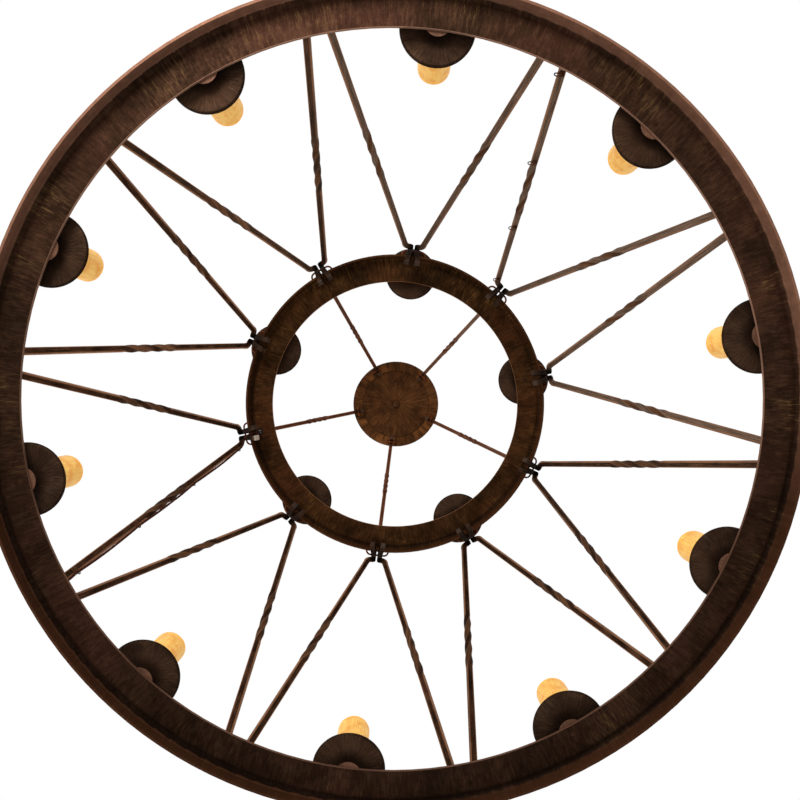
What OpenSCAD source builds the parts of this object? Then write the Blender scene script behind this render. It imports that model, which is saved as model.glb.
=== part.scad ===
// Wagon wheel chandelier: two rolled-angle rings and a top plate, held together by twisted
// square rods that hook into staples, with pillar-candle lamps standing on both rings.
// The origin is the middle of the eye bolt's bore, and +Z is up.

/* [Rings] */
// Outside diameter of the outer ring
outer_ring_d = 1524; // [1440:2:1600]
// Outside diameter of the inner ring
inner_ring_d = 832; // [800:2:880]
// Width of both rings' flat plates
ring_w = 69; // [66:1:76]
// Thickness of both rings' plates
ring_plate_t = 5; // [4:0.5:8]
// Depth of the leg turned down at a ring's outer edge
ring_leg_h = 28; // [20:1:40]
// Thickness of the leg
ring_leg_t = 5; // [4:0.5:6]
// Radius in the corner between plate and leg
ring_fillet_r = 8; // [4:0.5:10]
// Diameter of the round top plate
top_plate_d = 280; // [270:2:320]
// Thickness of the top plate
top_plate_t = 5; // [4:0.5:8]

/* [Heights] */
// From the middle of the hanging eye down to the underside of the top plate
eye_drop = 95; // [90:1:120]
// From the top plate's underside down to the inner ring's underside
upper_gap = 290; // [260:5:330]
// From the inner ring's underside down to the outer ring's underside
lower_gap = 600; // [540:5:660]

/* [Rods] */
// Side of the twenty lower rods' square bar
lower_bar = 14; // [12:0.1:14.4]
// Side of the five hub rods' square bar
hub_bar = 11.2; // [9:0.1:12]
// Length of the twisted stretch of a lower rod
lower_twist_l = 146; // [120:2:180]
// Length of the twisted stretch of a hub rod
hub_twist_l = 84; // [60:2:110]
// Whole turns in each twisted stretch
twist_turns = 1; // [1:1:2]
// Straight tip past a rod's lower hook
low_tip_l = 12; // [8:1:16]
// Length of a lower rod's upper tip, which leans in under the ring
lower_tip_l = 44; // [30:1:48]
// Lean of that tip from the vertical, in degrees
lower_tip_lean = 50; // [40:1:60]
// Sideways splay of that tip
lower_tip_splay = 6; // [0:0.5:8]
// Straight tip past a hub rod's upper hook
hub_tip_l = 18; // [10:1:22]

/* [Staples] */
// Diameter of the staples' round bar
staple_bar_d = 5; // [4:0.2:6]
// Distance between the two necks that share a staple on the inner ring
neck_pitch = 17.6; // [16:0.2:20]
// Corner radius of the edge staples
edge_corner_r = 12; // [9:0.5:13]
// Distance between the elbows of two rods below their staple
elbow_pitch = 46.8; // [44:0.2:50]
// Radius of the bow of the outer ring's staples
foot_bow_r = 52; // [48:1:60]
// Sweep of that bow, in degrees
foot_bow_sweep = 70; // [64:1:84]
// Corner radius of the single-rod staples
small_corner_r = 4; // [3:0.5:6]
// Room between a hook's side and a staple's leg
staple_side_gap = 3; // [2:0.5:5]
// Distance of the outer ring's staples inside its edge
foot_staple_in = 22; // [20:0.5:26]
// Distance of the top plate's staples inside its edge
top_staple_in = 15; // [13:0.5:20]
// Distance of the inner ring's upper staples inside its edge
hub_foot_in = 51; // [46:0.5:54]

/* [Lamps] */
// Outer lamps, which also sets the staples and rods between them
outer_lamps = 10; // [10]
// Distance of the outer lamps' circle inside the outer ring's edge
outer_lamp_in = 53; // [48:1:58]
// Distance of the inner lamps' circle inside the inner ring's edge
inner_lamp_in = 41; // [38:1:44]
// Diameter of the foot of the spacer under a bobeche
spacer_d = 51; // [48:0.5:54]
// Diameter of its narrower top
spacer_top_d = 32; // [28:1:40]
// Height of the spacer
spacer_h = 17; // [15.5:0.5:24]
// Diameter of a bobeche
bobeche_d = 143; // [120:1:150]
// Sheet thickness of a bobeche
bobeche_t = 2; // [1.5:0.1:3]
// Height of its turned-up rim
bobeche_rim_h = 5; // [4:0.5:10]
// Outside diameter of a candle sleeve
candle_d = 68; // [64:1:80]
// Height of a candle sleeve
candle_h = 140; // [125:1:170]
// Wall of a candle sleeve
candle_wall = 3.5; // [2.5:0.1:5]
// Outside diameter of a lamp socket
socket_d = 36; // [33:0.5:40]
// Height of a lamp socket
socket_h = 46; // [40:1:55]
// Diameter of a bulb's screw shell
bulb_base_d = 26; // [24:0.5:27]
// Diameter of a bulb's glass
bulb_glass_d = 48; // [40:1:50]
// Height of a bulb above its socket
bulb_glass_h = 58; // [50:1:64]
// Outside diameter of the threaded nipple in a lamp
nipple_d = 9.7; // [8:0.1:12]
// Bore of the nipple
nipple_bore = 7; // [5:0.5:7.5]

/* [Hanging eye] */
// Bore of the hanging eye
eye_bore_d = 30; // [24:1:36]
// Outside diameter of the hanging eye
eye_d = 54; // [50:1:64]
// Thickness of the hanging eye
eye_t = 12; // [10:1:16]
// Diameter of the eye bolt's shank
shank_d = 12; // [10:0.5:16]
// Width of the nuts over their flats
nut_af = 19; // [18:0.5:26]
// Height of a nut
nut_h = 10; // [8:0.5:13]
// Diameter of the washers
washer_d = 30; // [26:1:40]
// Thickness of the washers
washer_t = 2.5; // [2:0.5:4]

/* [Feed cord] */
// Diameter of the feed cord
cord_d = 5; // [4:0.5:5.5]
// Width of the room inside the guide loops on a rod
guide_bore_d = 7; // [6.8:0.1:7.6]
// Thickness of a guide loop's wire
guide_wire_d = 2.2; // [1.8:0.1:2.6]
// Distance of the cord's hole inside the inner ring's edge
grommet_in = 25; // [24.7:0.1:25.3]

/* [Hidden] */
// Clearance between a bar and the hook round it
hook_gap = 0.3;
// Clearance under a piece that lifts off
seat_gap = 0.3;
// Clearance round a threaded piece in its hole
hole_gap = 0.15;
// Clearance between a hook and the ring's leg
leg_gap = 0.5;
// Clearance of a piece welded against a curved wall
weld_gap = 0.05;

rust = [0.25, 0.17, 0.12];
bronze = [0.30, 0.20, 0.14];
iron = [0.33, 0.24, 0.19];
pan = [0.19, 0.14, 0.11];
steel = [0.45, 0.42, 0.39];
amber = [0.90, 0.68, 0.35];
phenolic = [0.10, 0.09, 0.08];
lead = [0.35, 0.20, 0.15];

up = [0, 0, 1];

// Azimuths. Nodes are the ten places round the rings where a lamp or a hub rod is.
first_az = 90;
node_step = 360 / outer_lamps;
inner_lamps = outer_lamps / 2;
inner_step = 360 / inner_lamps;
hub_rod_az = first_az + node_step;

// Levels
hub_z = -eye_drop;
inner_z = hub_z - upper_gap;
outer_z = inner_z - lower_gap;
inner_top = inner_z + ring_plate_t;
outer_top = outer_z + ring_plate_t;
inner_r = inner_ring_d / 2;
outer_r = outer_ring_d / 2;

// Staple bars and the hooks round them
lower_hook_r = staple_bar_d / 2 + hook_gap + lower_bar / 2;
hub_hook_r = staple_bar_d / 2 + hook_gap + hub_bar / 2;
edge_bar_out = leg_gap + lower_bar / 2 + lower_hook_r;
edge_bar_r = inner_r + edge_bar_out;
edge_bar_z = inner_z + ring_plate_t / 2;
edge_half_w = neck_pitch / 2 + lower_bar / 2 + staple_side_gap + edge_corner_r;
foot_bar_z = outer_top + hook_gap + lower_bar / 2 + lower_hook_r;
foot_bow_c = outer_r - foot_staple_in + foot_bow_r;
small_rise = hook_gap + hub_bar / 2 + hub_hook_r;
small_half_w = hub_bar / 2 + staple_side_gap + small_corner_r;
top_bar_r = top_plate_d / 2 - top_staple_in;
top_bar_z = hub_z - small_rise;
hub_foot_r = inner_r - hub_foot_in;
hub_foot_z = inner_top + small_rise;

// Lower rods: the elbow below an edge staple, and the bend of the tip round the ring's leg
neck_r = edge_bar_r + lower_hook_r;
neck_l = 12;
elbow_drop = 10;
elbow_ease = 14;
tip_bend_r = ring_leg_t + lower_bar / 2;
hook_steps = 8;
bend_steps = 4;
twist_steps = 18;
hub_tip_at = 155;

// Lamps, above the top of the plate that carries them
outer_lamp_r = outer_r - outer_lamp_in;
inner_lamp_r = inner_r - inner_lamp_in;
nipple_hole_d = nipple_d + 2 * hole_gap;
candle_bore = candle_d - 2 * candle_wall;
pan_top = spacer_h + bobeche_t;
locating_h = 6;
locating_wall = 1.5;
locating_gap = 0.5;
spacer_edge_h = 1.5;
wire_hole_d = 4.5;
wire_hole_z = 6;
nipple_floor = 2;
socket_cap_h = 9;
socket_cap_d = 30;
socket_gap = 0.4;
bulb_base_h = 24;

// Cord's hole in the inner ring, and the bushings at its two ends
cord_node_az = first_az + 7 * node_step;
grommet_r = inner_r - grommet_in;
grommet_flange_d = 16;
grommet_flange_t = 1.6;
grommet_bore_d = cord_d + 1.6;
grommet_hole_d = 11;
bushing_d = 8;
bushing_l = 13;
bushing_flange_d = 10;
bushing_flange_at = 2;
bushing_flange_t = 1.5;

// Guide loops: a plate on the rod's underside, with a long wire loop that stands out sideways.
// Their places are distances down from the rod's elbow.
guide_tab_t = 1.5;
guide_tab_l = 8;
guide_tab_w = 10;
guide_sink = 0.25;
guide_reach = 10.6;
guide_root = 2;
cord_rod_guides = [39, 237, 430, 600];
spare_rod_guides = [24, 216, 408, 610];

// The cord's way from an inner lamp, through the inner ring and the loops, to an outer lamp
cord_points = [
  [245, -286, -374], [254, -279, -374], [269, -269, -376], [291, -253, -377],
  [311, -235, -377], [328, -213, -377], [342, -190, -377], [353, -168, -377],
  [361, -150, -376], [366, -139, -370], [368, -131, -366], [370, -125, -364],
  [372, -122, -367], [372, -121, -372], [372, -121, -390], [372, -121, -412],
  [373.5, -121, -428], [379, -123.5, -440], [387, -127.5, -446], [394, -134.5, -443],
  [399, -143.5, -437], [403, -152.5, -432], [405, -160.5, -430], [407.5, -167.5, -435],
  [415, -179.5, -460], [422.5, -191.5, -485], [430.5, -203.5, -510], [439, -215, -535],
  [448, -226, -560], [457, -237, -585], [466.5, -248, -610], [474, -260, -635],
  [481.5, -272, -660], [489.5, -283, -685], [498, -294.5, -709.5], [507, -306, -734.5],
  [516, -316.5, -759.5], [525, -327.5, -784.5], [532.5, -339.5, -809.5], [540.5, -351.5, -834.5],
  [549, -363.5, -859.5], [557.5, -374.5, -884.5], [567, -385.5, -909.5], [576.5, -396, -934.5],
  [580.5, -403, -948], [584.5, -409, -960], [586, -416, -970], [582, -427, -976],
  [567, -445, -977], [548, -464, -977], [525, -485, -977], [503, -504, -977],
  [480, -524, -977], [463, -538, -976], [450, -549, -974], [441, -556, -974],
];

function unit(v) = v / norm(v);

function polar(r, az, z) = [r * cos(az), r * sin(az), z];

// Points of an arc about c, in the upright plane of the level direction e
function arc_path(c, e, r, a0, a1, steps) =
  [for (i = [0:steps]) let (a = a0 + (a1 - a0) * i / steps) c + r * (cos(a) * e + sin(a) * up)];

// Points between a and b, at even steps round the middle stretch of length l
function middle_path(a, b, l, steps) =
  let (d = unit(b - a), start = (a + b) / 2 - d * l / 2)
  [for (i = [0:steps]) start + d * l * i / steps];

// Moves offset o along direction d until it lies in the plane with normal m
function slide_to(o, d, m) = o - d * (o * m) / (d * m);

function stretches(p) = [for (i = [0:len(p) - 2]) unit(p[i + 1] - p[i])];

// Normal of the cut at each point: square at the ends, halfway between two stretches elsewhere
function mitres(d) =
  [for (i = [0:len(d)]) i == 0 ? d[0] : i == len(d) ? d[i - 1] : unit(d[i - 1] + d[i])];

// A normal carried along the stretches without turning about them
function carried(d, m, n0) =
  [for (i = 0, n = n0; i < len(d);
      n = i + 1 < len(d) ? slide_to(slide_to(n, d[i], m[i + 1]), d[i + 1], d[i + 1]) : n, i = i + 1) n];

// A solid with the given outline, swept along a path. Outline points count from the carried
// normal, and turns holds the outline's turn about the path at each point, in degrees.
module swept(path, outline, n0, turns) {
  d = stretches(path);
  m = mitres(d);
  n = carried(d, m, n0);
  k = len(outline);
  last = len(path) - 1;
  points = [
    for (i = [0:last]) let (j = min(i, last - 1), a = n[j], b = cross(d[j], n[j]), t = turns[i])
      for (q = outline)
        path[i] + slide_to((q.x * cos(t) - q.y * sin(t)) * a + (q.x * sin(t) + q.y * cos(t)) * b, d[j], m[i])
  ];
  sides = [
    for (i = [0:last - 1]) for (j = [0:k - 1])
      let (p = i * k + j, q = i * k + (j + 1) % k)
      each [[p, p + k, q + k], [p, q + k, q]]
  ];
  first_cap = [for (j = [1:k - 2]) [0, j, j + 1]];
  last_cap = [for (j = [1:k - 2]) [last * k, last * k + j + 1, last * k + j]];
  polyhedron(points = points, faces = concat(sides, first_cap, last_cap), convexity = 8);
}

function square_outline(side) = [for (q = [[1, 1], [-1, 1], [-1, -1], [1, -1]]) q * side / 2];

function round_outline(d, sides) = [for (i = [0:sides - 1]) d / 2 * [cos(360 * i / sides), sin(360 * i / sides)]];

// Turn at each of a rod's points: the whole turns over the twisted ones, and after them the part
// turn that squares the bar to its upper hook, over the elbow
function rod_turns(count, part) =
  let (first = hook_steps + 2)
  [for (i = [0:count - 1])
    360 * twist_turns * min(max(i - first, 0), twist_steps) / twist_steps
    + part * min(max(i - first - twist_steps - 1, 0), 2) / 2];

// A lower rod's plan direction in its node's frame, and the places that shape it.
// Side is 1 or -1, for the two rods that leave a node. A rod runs from its elbow towards the
// middle of the outer staple's bow, so that it meets the bow square.
function foot_dir(side) =
  unit(polar(foot_bow_c, side * node_step / 2, 0) - [neck_r, side * elbow_pitch / 2, 0]);
function foot_place(side) =
  polar(foot_bow_c, side * node_step / 2, foot_bar_z) - foot_bow_r * foot_dir(side);
function elbow_place(side) =
  let (f = foot_place(side), e = foot_dir(side), reach = (f.x - neck_r) / e.x)
  [f.x, f.y, 0] - reach * e + (edge_bar_z - neck_l - elbow_drop) * up;
function tangent_place(side) =
  let (
    f = foot_place(side), e = foot_dir(side), rise = elbow_place(side).z - f.z,
    reach = (f.x - neck_r) / e.x,
    a = 180 - atan2(rise, reach) + acos(lower_hook_r / norm([reach, rise]))
  )
  [a, f + lower_hook_r * (cos(a) * e + sin(a) * up)];

function lower_path(side) =
  let (
    f = foot_place(side), e = foot_dir(side), t = tangent_place(side), elbow = elbow_place(side),
    bar = [edge_bar_r, side * neck_pitch / 2, edge_bar_z],
    bend = [edge_bar_r - lower_hook_r - tip_bend_r, bar.y, inner_z - ring_leg_h],
    tip_root = bend + tip_bend_r * [cos(lower_tip_lean), 0, -sin(lower_tip_lean)],
    tip = tip_root + [-lower_tip_l * sin(lower_tip_lean), side * lower_tip_splay,
                      -lower_tip_l * cos(lower_tip_lean)]
  )
  concat(
    [f + lower_hook_r * e + low_tip_l * up],
    arc_path(f, e, lower_hook_r, 360, t[0], hook_steps),
    middle_path(t[1], elbow, lower_twist_l, twist_steps),
    [elbow + elbow_ease * unit(t[1] - elbow), elbow, [neck_r, bar.y, edge_bar_z - neck_l]],
    arc_path(bar, [1, 0, 0], lower_hook_r, 0, 180, hook_steps),
    arc_path(bend, [1, 0, 0], tip_bend_r, 0, -lower_tip_lean, bend_steps),
    [tip]
  );

// Part turn, within an eighth, that squares the carried normal to the hook's plane
function squaring(path, n0, wanted) =
  let (
    d = stretches(path), n = carried(d, mitres(d), n0), k = len(d) - 2,
    a = atan2(cross(n[k], wanted) * d[k], n[k] * wanted)
  )
  a - 90 * round(a / 90);

module lower_rod(side) {
  path = lower_path(side);
  n0 = cross(foot_dir(side), up);
  swept(path, square_outline(lower_bar), n0, rod_turns(len(path), squaring(path, n0, [0, 1, 0])));
}

// Rods are numbered in pairs round the rings: odd ones leave a node clockwise, even ones the other way
module lower_rod_no(number) {
  side = number % 2 == 0 ? 1 : -1;
  color(iron) rotate(first_az + node_step * floor((number - 1) / 2)) lower_rod(side);
}

function hub_rod_path() =
  let (
    ex = [1, 0, 0], c0 = [hub_foot_r, 0, hub_foot_z], c1 = [top_bar_r, 0, top_bar_z], l = norm(c1 - c0),
    a = atan2(c1.z - c0.z, c1.x - c0.x) + acos(2 * hub_hook_r / l),
    start = c0 + hub_hook_r * [cos(a), 0, sin(a)], end = c1 - hub_hook_r * [cos(a), 0, sin(a)],
    tip_root = c1 + hub_hook_r * [cos(hub_tip_at), 0, sin(hub_tip_at)]
  )
  concat(
    [c0 + [hub_hook_r, 0, low_tip_l]],
    arc_path(c0, ex, hub_hook_r, 360, a, hook_steps),
    middle_path(start, end, hub_twist_l, twist_steps),
    arc_path(c1, ex, hub_hook_r, a - 180, hub_tip_at, hook_steps),
    [tip_root + hub_tip_l * [-sin(hub_tip_at), 0, cos(hub_tip_at)]]
  );

module hub_rod_no(number) {
  path = hub_rod_path();
  color(iron) rotate(hub_rod_az + inner_step * (number - 1))
    swept(path, square_outline(hub_bar), [0, 1, 0], rod_turns(len(path), 0));
}

// Rolled angle, bent to a ring: flat plate with its leg turned down at the outer edge
module angle_ring(r) {
  rotate_extrude($fn = 180) {
    translate([r - ring_w, 0]) square([ring_w, ring_plate_t]);
    translate([r - ring_leg_t, -ring_leg_h]) square([ring_leg_t, ring_leg_h + ring_plate_t]);
    translate([r - ring_leg_t - ring_fillet_r, -ring_fillet_r]) difference() {
      square(ring_fillet_r);
      circle(r = ring_fillet_r, $fn = 48);
    }
  }
}

module outer_ring() {
  color(rust) translate([0, 0, outer_z]) difference() {
    angle_ring(outer_r);
    for (i = [0:outer_lamps - 1]) rotate(first_az + node_step * i)
      translate([outer_lamp_r, 0, -1]) cylinder(d = nipple_hole_d, h = ring_plate_t + 2, $fn = 32);
  }
}

module inner_ring() {
  color(rust) translate([0, 0, inner_z]) difference() {
    angle_ring(inner_r);
    for (i = [0:inner_lamps - 1]) rotate(first_az + inner_step * i)
      translate([inner_lamp_r, 0, -1]) cylinder(d = nipple_hole_d, h = ring_plate_t + 2, $fn = 32);
    rotate(cord_node_az) translate([grommet_r, 0, -1])
      cylinder(d = grommet_hole_d, h = ring_plate_t + 2, $fn = 32);
  }
}

module top_plate() {
  color(bronze) translate([0, 0, hub_z]) difference() {
    cylinder(d = top_plate_d, h = top_plate_t, $fn = 120);
    translate([0, 0, -1]) cylinder(d = shank_d + 2 * hole_gap, h = top_plate_t + 2, $fn = 32);
  }
}

// Eye with a bored middle and a rounded outside, on a shank that goes through the top plate
module eye_bolt() {
  collar_l = 9;
  collar_top = 3 - eye_d / 2;
  shank_end = eye_drop + nut_h + 4;
  color(steel) {
    rotate([90, 0, 0]) rotate_extrude($fn = 96) {
      translate([eye_bore_d / 2, -eye_t / 2]) square([(eye_d - eye_bore_d - eye_t) / 2, eye_t]);
      translate([(eye_d - eye_t) / 2, 0]) circle(d = eye_t, $fn = 48);
    }
    translate([0, 0, collar_top - collar_l]) cylinder(d = shank_d + 8, h = collar_l, $fn = 48);
    translate([0, 0, -shank_end]) cylinder(d = shank_d, h = shank_end + collar_top - collar_l, $fn = 48);
  }
}

module hex_nut() {
  difference() {
    cylinder(d = nut_af / cos(30), h = nut_h, $fn = 6);
    translate([0, 0, -1]) cylinder(d = shank_d + 2 * hole_gap, h = nut_h + 2, $fn = 48);
  }
}

module eye_bolt_nuts() {
  color(steel) {
    translate([0, 0, hub_z - nut_h]) hex_nut();
    translate([0, 0, hub_z + top_plate_t]) difference() {
      cylinder(d = washer_d, h = washer_t, $fn = 64);
      translate([0, 0, -1]) cylinder(d = shank_d + 2 * hole_gap, h = washer_t + 2, $fn = 48);
    }
    translate([0, 0, hub_z + top_plate_t + washer_t]) hex_nut();
  }
}

// Leg of a staple on side s, with the rounded corner at its top, which ends over y = 0
module staple_leg(s, rise, corner) {
  translate([0, s * corner, 0]) cylinder(d = staple_bar_d, h = rise - corner, $fn = 32);
  translate([0, 0, rise - corner]) rotate([90, 0, 90]) rotate(s > 0 ? 0 : 90)
    rotate_extrude(angle = 90, $fn = 64) translate([corner, 0]) circle(d = staple_bar_d, $fn = 32);
}

// Bent round bar standing on z = 0, its bar along Y
module staple(half_w, rise, corner) {
  for (s = [-1, 1]) translate([0, s * (half_w - corner), 0]) staple_leg(s, rise, corner);
  translate([0, corner - half_w, rise]) rotate([-90, 0, 0])
    cylinder(d = staple_bar_d, h = 2 * (half_w - corner), $fn = 32);
}

module top_plate_staples() {
  color(iron) for (i = [0:inner_lamps - 1]) rotate(hub_rod_az + inner_step * i)
    translate([top_bar_r, 0, hub_z]) mirror([0, 0, 1]) staple(small_half_w, small_rise, small_corner_r);
}

module hub_rod_feet_staples() {
  color(iron) for (i = [0:inner_lamps - 1]) rotate(hub_rod_az + inner_step * i)
    translate([hub_foot_r, 0, inner_top]) staple(small_half_w, small_rise, small_corner_r);
}

// Staples that stand out level from the inner ring's edge, each for the hooks of two rods
module inner_ring_staples() {
  root = 6;
  color(iron) difference() {
    for (i = [0:outer_lamps - 1]) rotate(first_az + node_step * i)
      translate([inner_r - root, 0, edge_bar_z]) rotate([0, 90, 0])
        staple(edge_half_w, edge_bar_out + root, edge_corner_r);
    translate([0, 0, edge_bar_z - staple_bar_d])
      cylinder(r = inner_r + weld_gap, h = 2 * staple_bar_d, $fn = 180);
  }
}

// Bowed bars on two posts each: the bow is square to both of the rods that hook under it
module outer_ring_staples() {
  color(iron) for (i = [0:outer_lamps - 1]) rotate(first_az + node_step * (i + 0.5))
    translate([foot_bow_c, 0, outer_top]) rotate(180) {
      translate([0, 0, foot_bar_z - outer_top]) rotate(-foot_bow_sweep / 2)
        rotate_extrude(angle = foot_bow_sweep, $fn = 96)
          translate([foot_bow_r, 0]) circle(d = staple_bar_d, $fn = 32);
      for (s = [-1, 1]) rotate(s * foot_bow_sweep / 2) translate([foot_bow_r, 0, 0])
        cylinder(d = 1.4 * staple_bar_d, h = foot_bar_z - outer_top + 0.75 * staple_bar_d, $fn = 48);
    }
}

// Children at each outer or inner lamp, on top of the plate
module at_outer_lamps() {
  for (i = [0:outer_lamps - 1]) rotate(first_az + node_step * i)
    translate([outer_lamp_r, 0, outer_top]) children();
}

module at_inner_lamps() {
  for (i = [0:inner_lamps - 1]) rotate(first_az + inner_step * i)
    translate([inner_lamp_r, 0, inner_top]) children();
}

// Turned cone between plate and bobeche, wide at its foot
module spacer() {
  difference() {
    union() {
      cylinder(d = spacer_d, h = spacer_edge_h, $fn = 96);
      translate([0, 0, spacer_edge_h])
        cylinder(d1 = spacer_d, d2 = spacer_top_d, h = spacer_h - spacer_edge_h, $fn = 96);
    }
    translate([0, 0, -1]) cylinder(d = nipple_hole_d, h = spacer_h + 2, $fn = 32);
  }
}

// Round pan with a turned-up rim and a low ring that keeps the candle sleeve in the middle
module bobeche() {
  rim_c = bobeche_d / 2 - bobeche_rim_h;
  locating_r = candle_bore / 2 - locating_gap;
  translate([0, 0, spacer_h]) rotate_extrude($fn = 120) {
    translate([nipple_hole_d / 2, 0]) square([rim_c - nipple_hole_d / 2, bobeche_t]);
    translate([rim_c, bobeche_rim_h]) intersection() {
      difference() {
        circle(r = bobeche_rim_h, $fn = 64);
        circle(r = bobeche_rim_h - bobeche_t, $fn = 64);
      }
      translate([0, -bobeche_rim_h]) square(bobeche_rim_h);
    }
    translate([locating_r - locating_wall, bobeche_t]) square([locating_wall, locating_h]);
  }
}

// Open sleeve with a rounded lip
module candle() {
  translate([0, 0, pan_top + seat_gap]) rotate_extrude($fn = 96) {
    translate([candle_bore / 2, 0]) square([candle_wall, candle_h - candle_wall / 2]);
    translate([(candle_bore + candle_wall) / 2, candle_h - candle_wall / 2]) circle(d = candle_wall, $fn = 32);
  }
}

// Threaded nipple, closed and flush under the plate. Its bore starts above the plate, and a hole
// in its side lets the wires in.
module nipple() {
  difference() {
    translate([0, 0, -ring_plate_t])
      cylinder(d = nipple_d, h = ring_plate_t + pan_top + socket_cap_h, $fn = 32);
    translate([0, 0, nipple_floor]) cylinder(d = nipple_bore, h = pan_top + socket_cap_h, $fn = 32);
    translate([0, 0, wire_hole_z]) rotate([90, 0, 0]) cylinder(d = wire_hole_d, h = nipple_d, $fn = 32);
    translate([0, 0, wire_hole_z]) rotate([-90, 0, 0]) cylinder(d = wire_hole_d, h = nipple_d, $fn = 32);
  }
}

module socket() {
  translate([0, 0, pan_top]) difference() {
    union() {
      cylinder(d = socket_cap_d, h = socket_cap_h, $fn = 64);
      translate([0, 0, socket_cap_h - 3]) cylinder(d = socket_d, h = socket_h - socket_cap_h + 3, $fn = 64);
    }
    translate([0, 0, -1]) cylinder(d = nipple_hole_d, h = socket_cap_h + 2, $fn = 32);
    translate([0, 0, socket_cap_h])
      cylinder(d = bulb_base_d + 2 * socket_gap, h = socket_h, $fn = 64);
  }
}

module bulb() {
  glass_r = bulb_glass_d / 2;
  translate([0, 0, pan_top + socket_h]) {
    translate([0, 0, -bulb_base_h]) cylinder(d = bulb_base_d, h = bulb_base_h, $fn = 48);
    cylinder(r1 = bulb_base_d / 2 - 1, r2 = glass_r * 0.94, h = bulb_glass_h - glass_r * 1.3, $fn = 64);
    translate([0, 0, bulb_glass_h - glass_r]) sphere(r = glass_r, $fn = 64);
  }
}

module outer_spacers() {
  color(bronze) difference() {
    at_outer_lamps() spacer();
    outer_bushing_place() bushing_hole();
  }
}

module inner_spacers() {
  color(bronze) difference() {
    at_inner_lamps() spacer();
    inner_bushing_place() bushing_hole();
  }
}

module outer_bobeches() {
  color(pan) at_outer_lamps() bobeche();
}

module inner_bobeches() {
  color(pan) at_inner_lamps() bobeche();
}

module lamp_nipples() {
  color(steel) {
    at_outer_lamps() nipple();
    at_inner_lamps() nipple();
  }
}

module lamp_sockets() {
  color(phenolic) {
    at_outer_lamps() socket();
    at_inner_lamps() socket();
  }
}

module bulbs() {
  color("white") {
    at_outer_lamps() bulb();
    at_inner_lamps() bulb();
  }
}

module outer_candle(number) {
  color(amber) rotate(first_az + node_step * (number - 1)) translate([outer_lamp_r, 0, outer_top]) candle();
}

module inner_candle(number) {
  color(amber) rotate(first_az + inner_step * (number - 1)) translate([inner_lamp_r, 0, inner_top]) candle();
}

// Loop on the underside of the odd rod of a node, at a distance down from its elbow.
// Up along the rod is local Z, and the underside faces local -X.
module guide_ring(at) {
  elbow = elbow_place(-1);
  down = unit(tangent_place(-1)[1] - elbow);
  e = foot_dir(-1);
  wire_r = (guide_bore_d + guide_wire_d) / 2;
  face = lower_bar / 2 + guide_tab_t;
  translate(elbow + at * down) rotate([0, -acos(-down.z), atan2(e.y, e.x)]) {
    translate([-face, -guide_tab_w / 2, -guide_tab_l / 2]) cube([guide_tab_t, guide_tab_w, guide_tab_l]);
    translate([guide_sink - face - wire_r, 0, 0]) {
      for (s = [-1, 1]) translate([s * wire_r, -guide_root, 0]) rotate([90, 0, 0])
        cylinder(d = guide_wire_d, h = guide_reach - guide_root, $fn = 24);
      for (s = [0, 1]) translate([0, s == 0 ? -guide_root : -guide_reach, 0]) rotate(180 * s)
        rotate_extrude(angle = 180, $fn = 48) translate([wire_r, 0]) circle(d = guide_wire_d, $fn = 24);
    }
  }
}

module guide_rings() {
  color(iron) {
    for (at = cord_rod_guides) rotate(cord_node_az) guide_ring(at);
    for (at = spare_rod_guides) rotate(first_az + node_step) guide_ring(at);
  }
}

module feed_cord() {
  color(lead) swept(cord_points, round_outline(cord_d, 8), [0, 0, 1], [for (q = cord_points) 0]);
}

// Children at an end of the cord, with the way into the lamp along X
module at_cord_end(last, before) {
  translate(last) rotate(atan2(last.y - before.y, last.x - before.x)) children();
}

module inner_bushing_place() {
  at_cord_end(cord_points[0], cord_points[1]) children();
}

module outer_bushing_place() {
  count = len(cord_points);
  at_cord_end(cord_points[count - 1], cord_points[count - 2]) children();
}

// Hole for a bushing, and the narrower one that takes the wires on to the nipple
module bushing_hole() {
  rotate([0, 90, 0]) {
    cylinder(d = bushing_d + 2 * hole_gap, h = bushing_l + 1, $fn = 48);
    cylinder(d = wire_hole_d, h = spacer_d / 2 + 4, $fn = 32);
  }
}

module bushing() {
  rotate([0, 90, 0]) {
    cylinder(d = bushing_d, h = bushing_l, $fn = 48);
    translate([0, 0, bushing_flange_at]) cylinder(d = bushing_flange_d, h = bushing_flange_t, $fn = 48);
  }
}

module grommet() {
  difference() {
    union() {
      translate([0, 0, -grommet_flange_t]) cylinder(d = grommet_flange_d, h = grommet_flange_t, $fn = 64);
      cylinder(d = grommet_hole_d - 2 * hole_gap, h = ring_plate_t, $fn = 64);
      translate([0, 0, ring_plate_t]) cylinder(d = grommet_flange_d, h = grommet_flange_t, $fn = 64);
    }
    translate([0, 0, -grommet_flange_t - 1])
      cylinder(d = grommet_bore_d, h = ring_plate_t + 2 * grommet_flange_t + 2, $fn = 48);
  }
}

module cord_bushings() {
  color(phenolic) {
    inner_bushing_place() bushing();
    outer_bushing_place() bushing();
    rotate(cord_node_az) translate([grommet_r, 0, inner_z]) grommet();
  }
}

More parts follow.
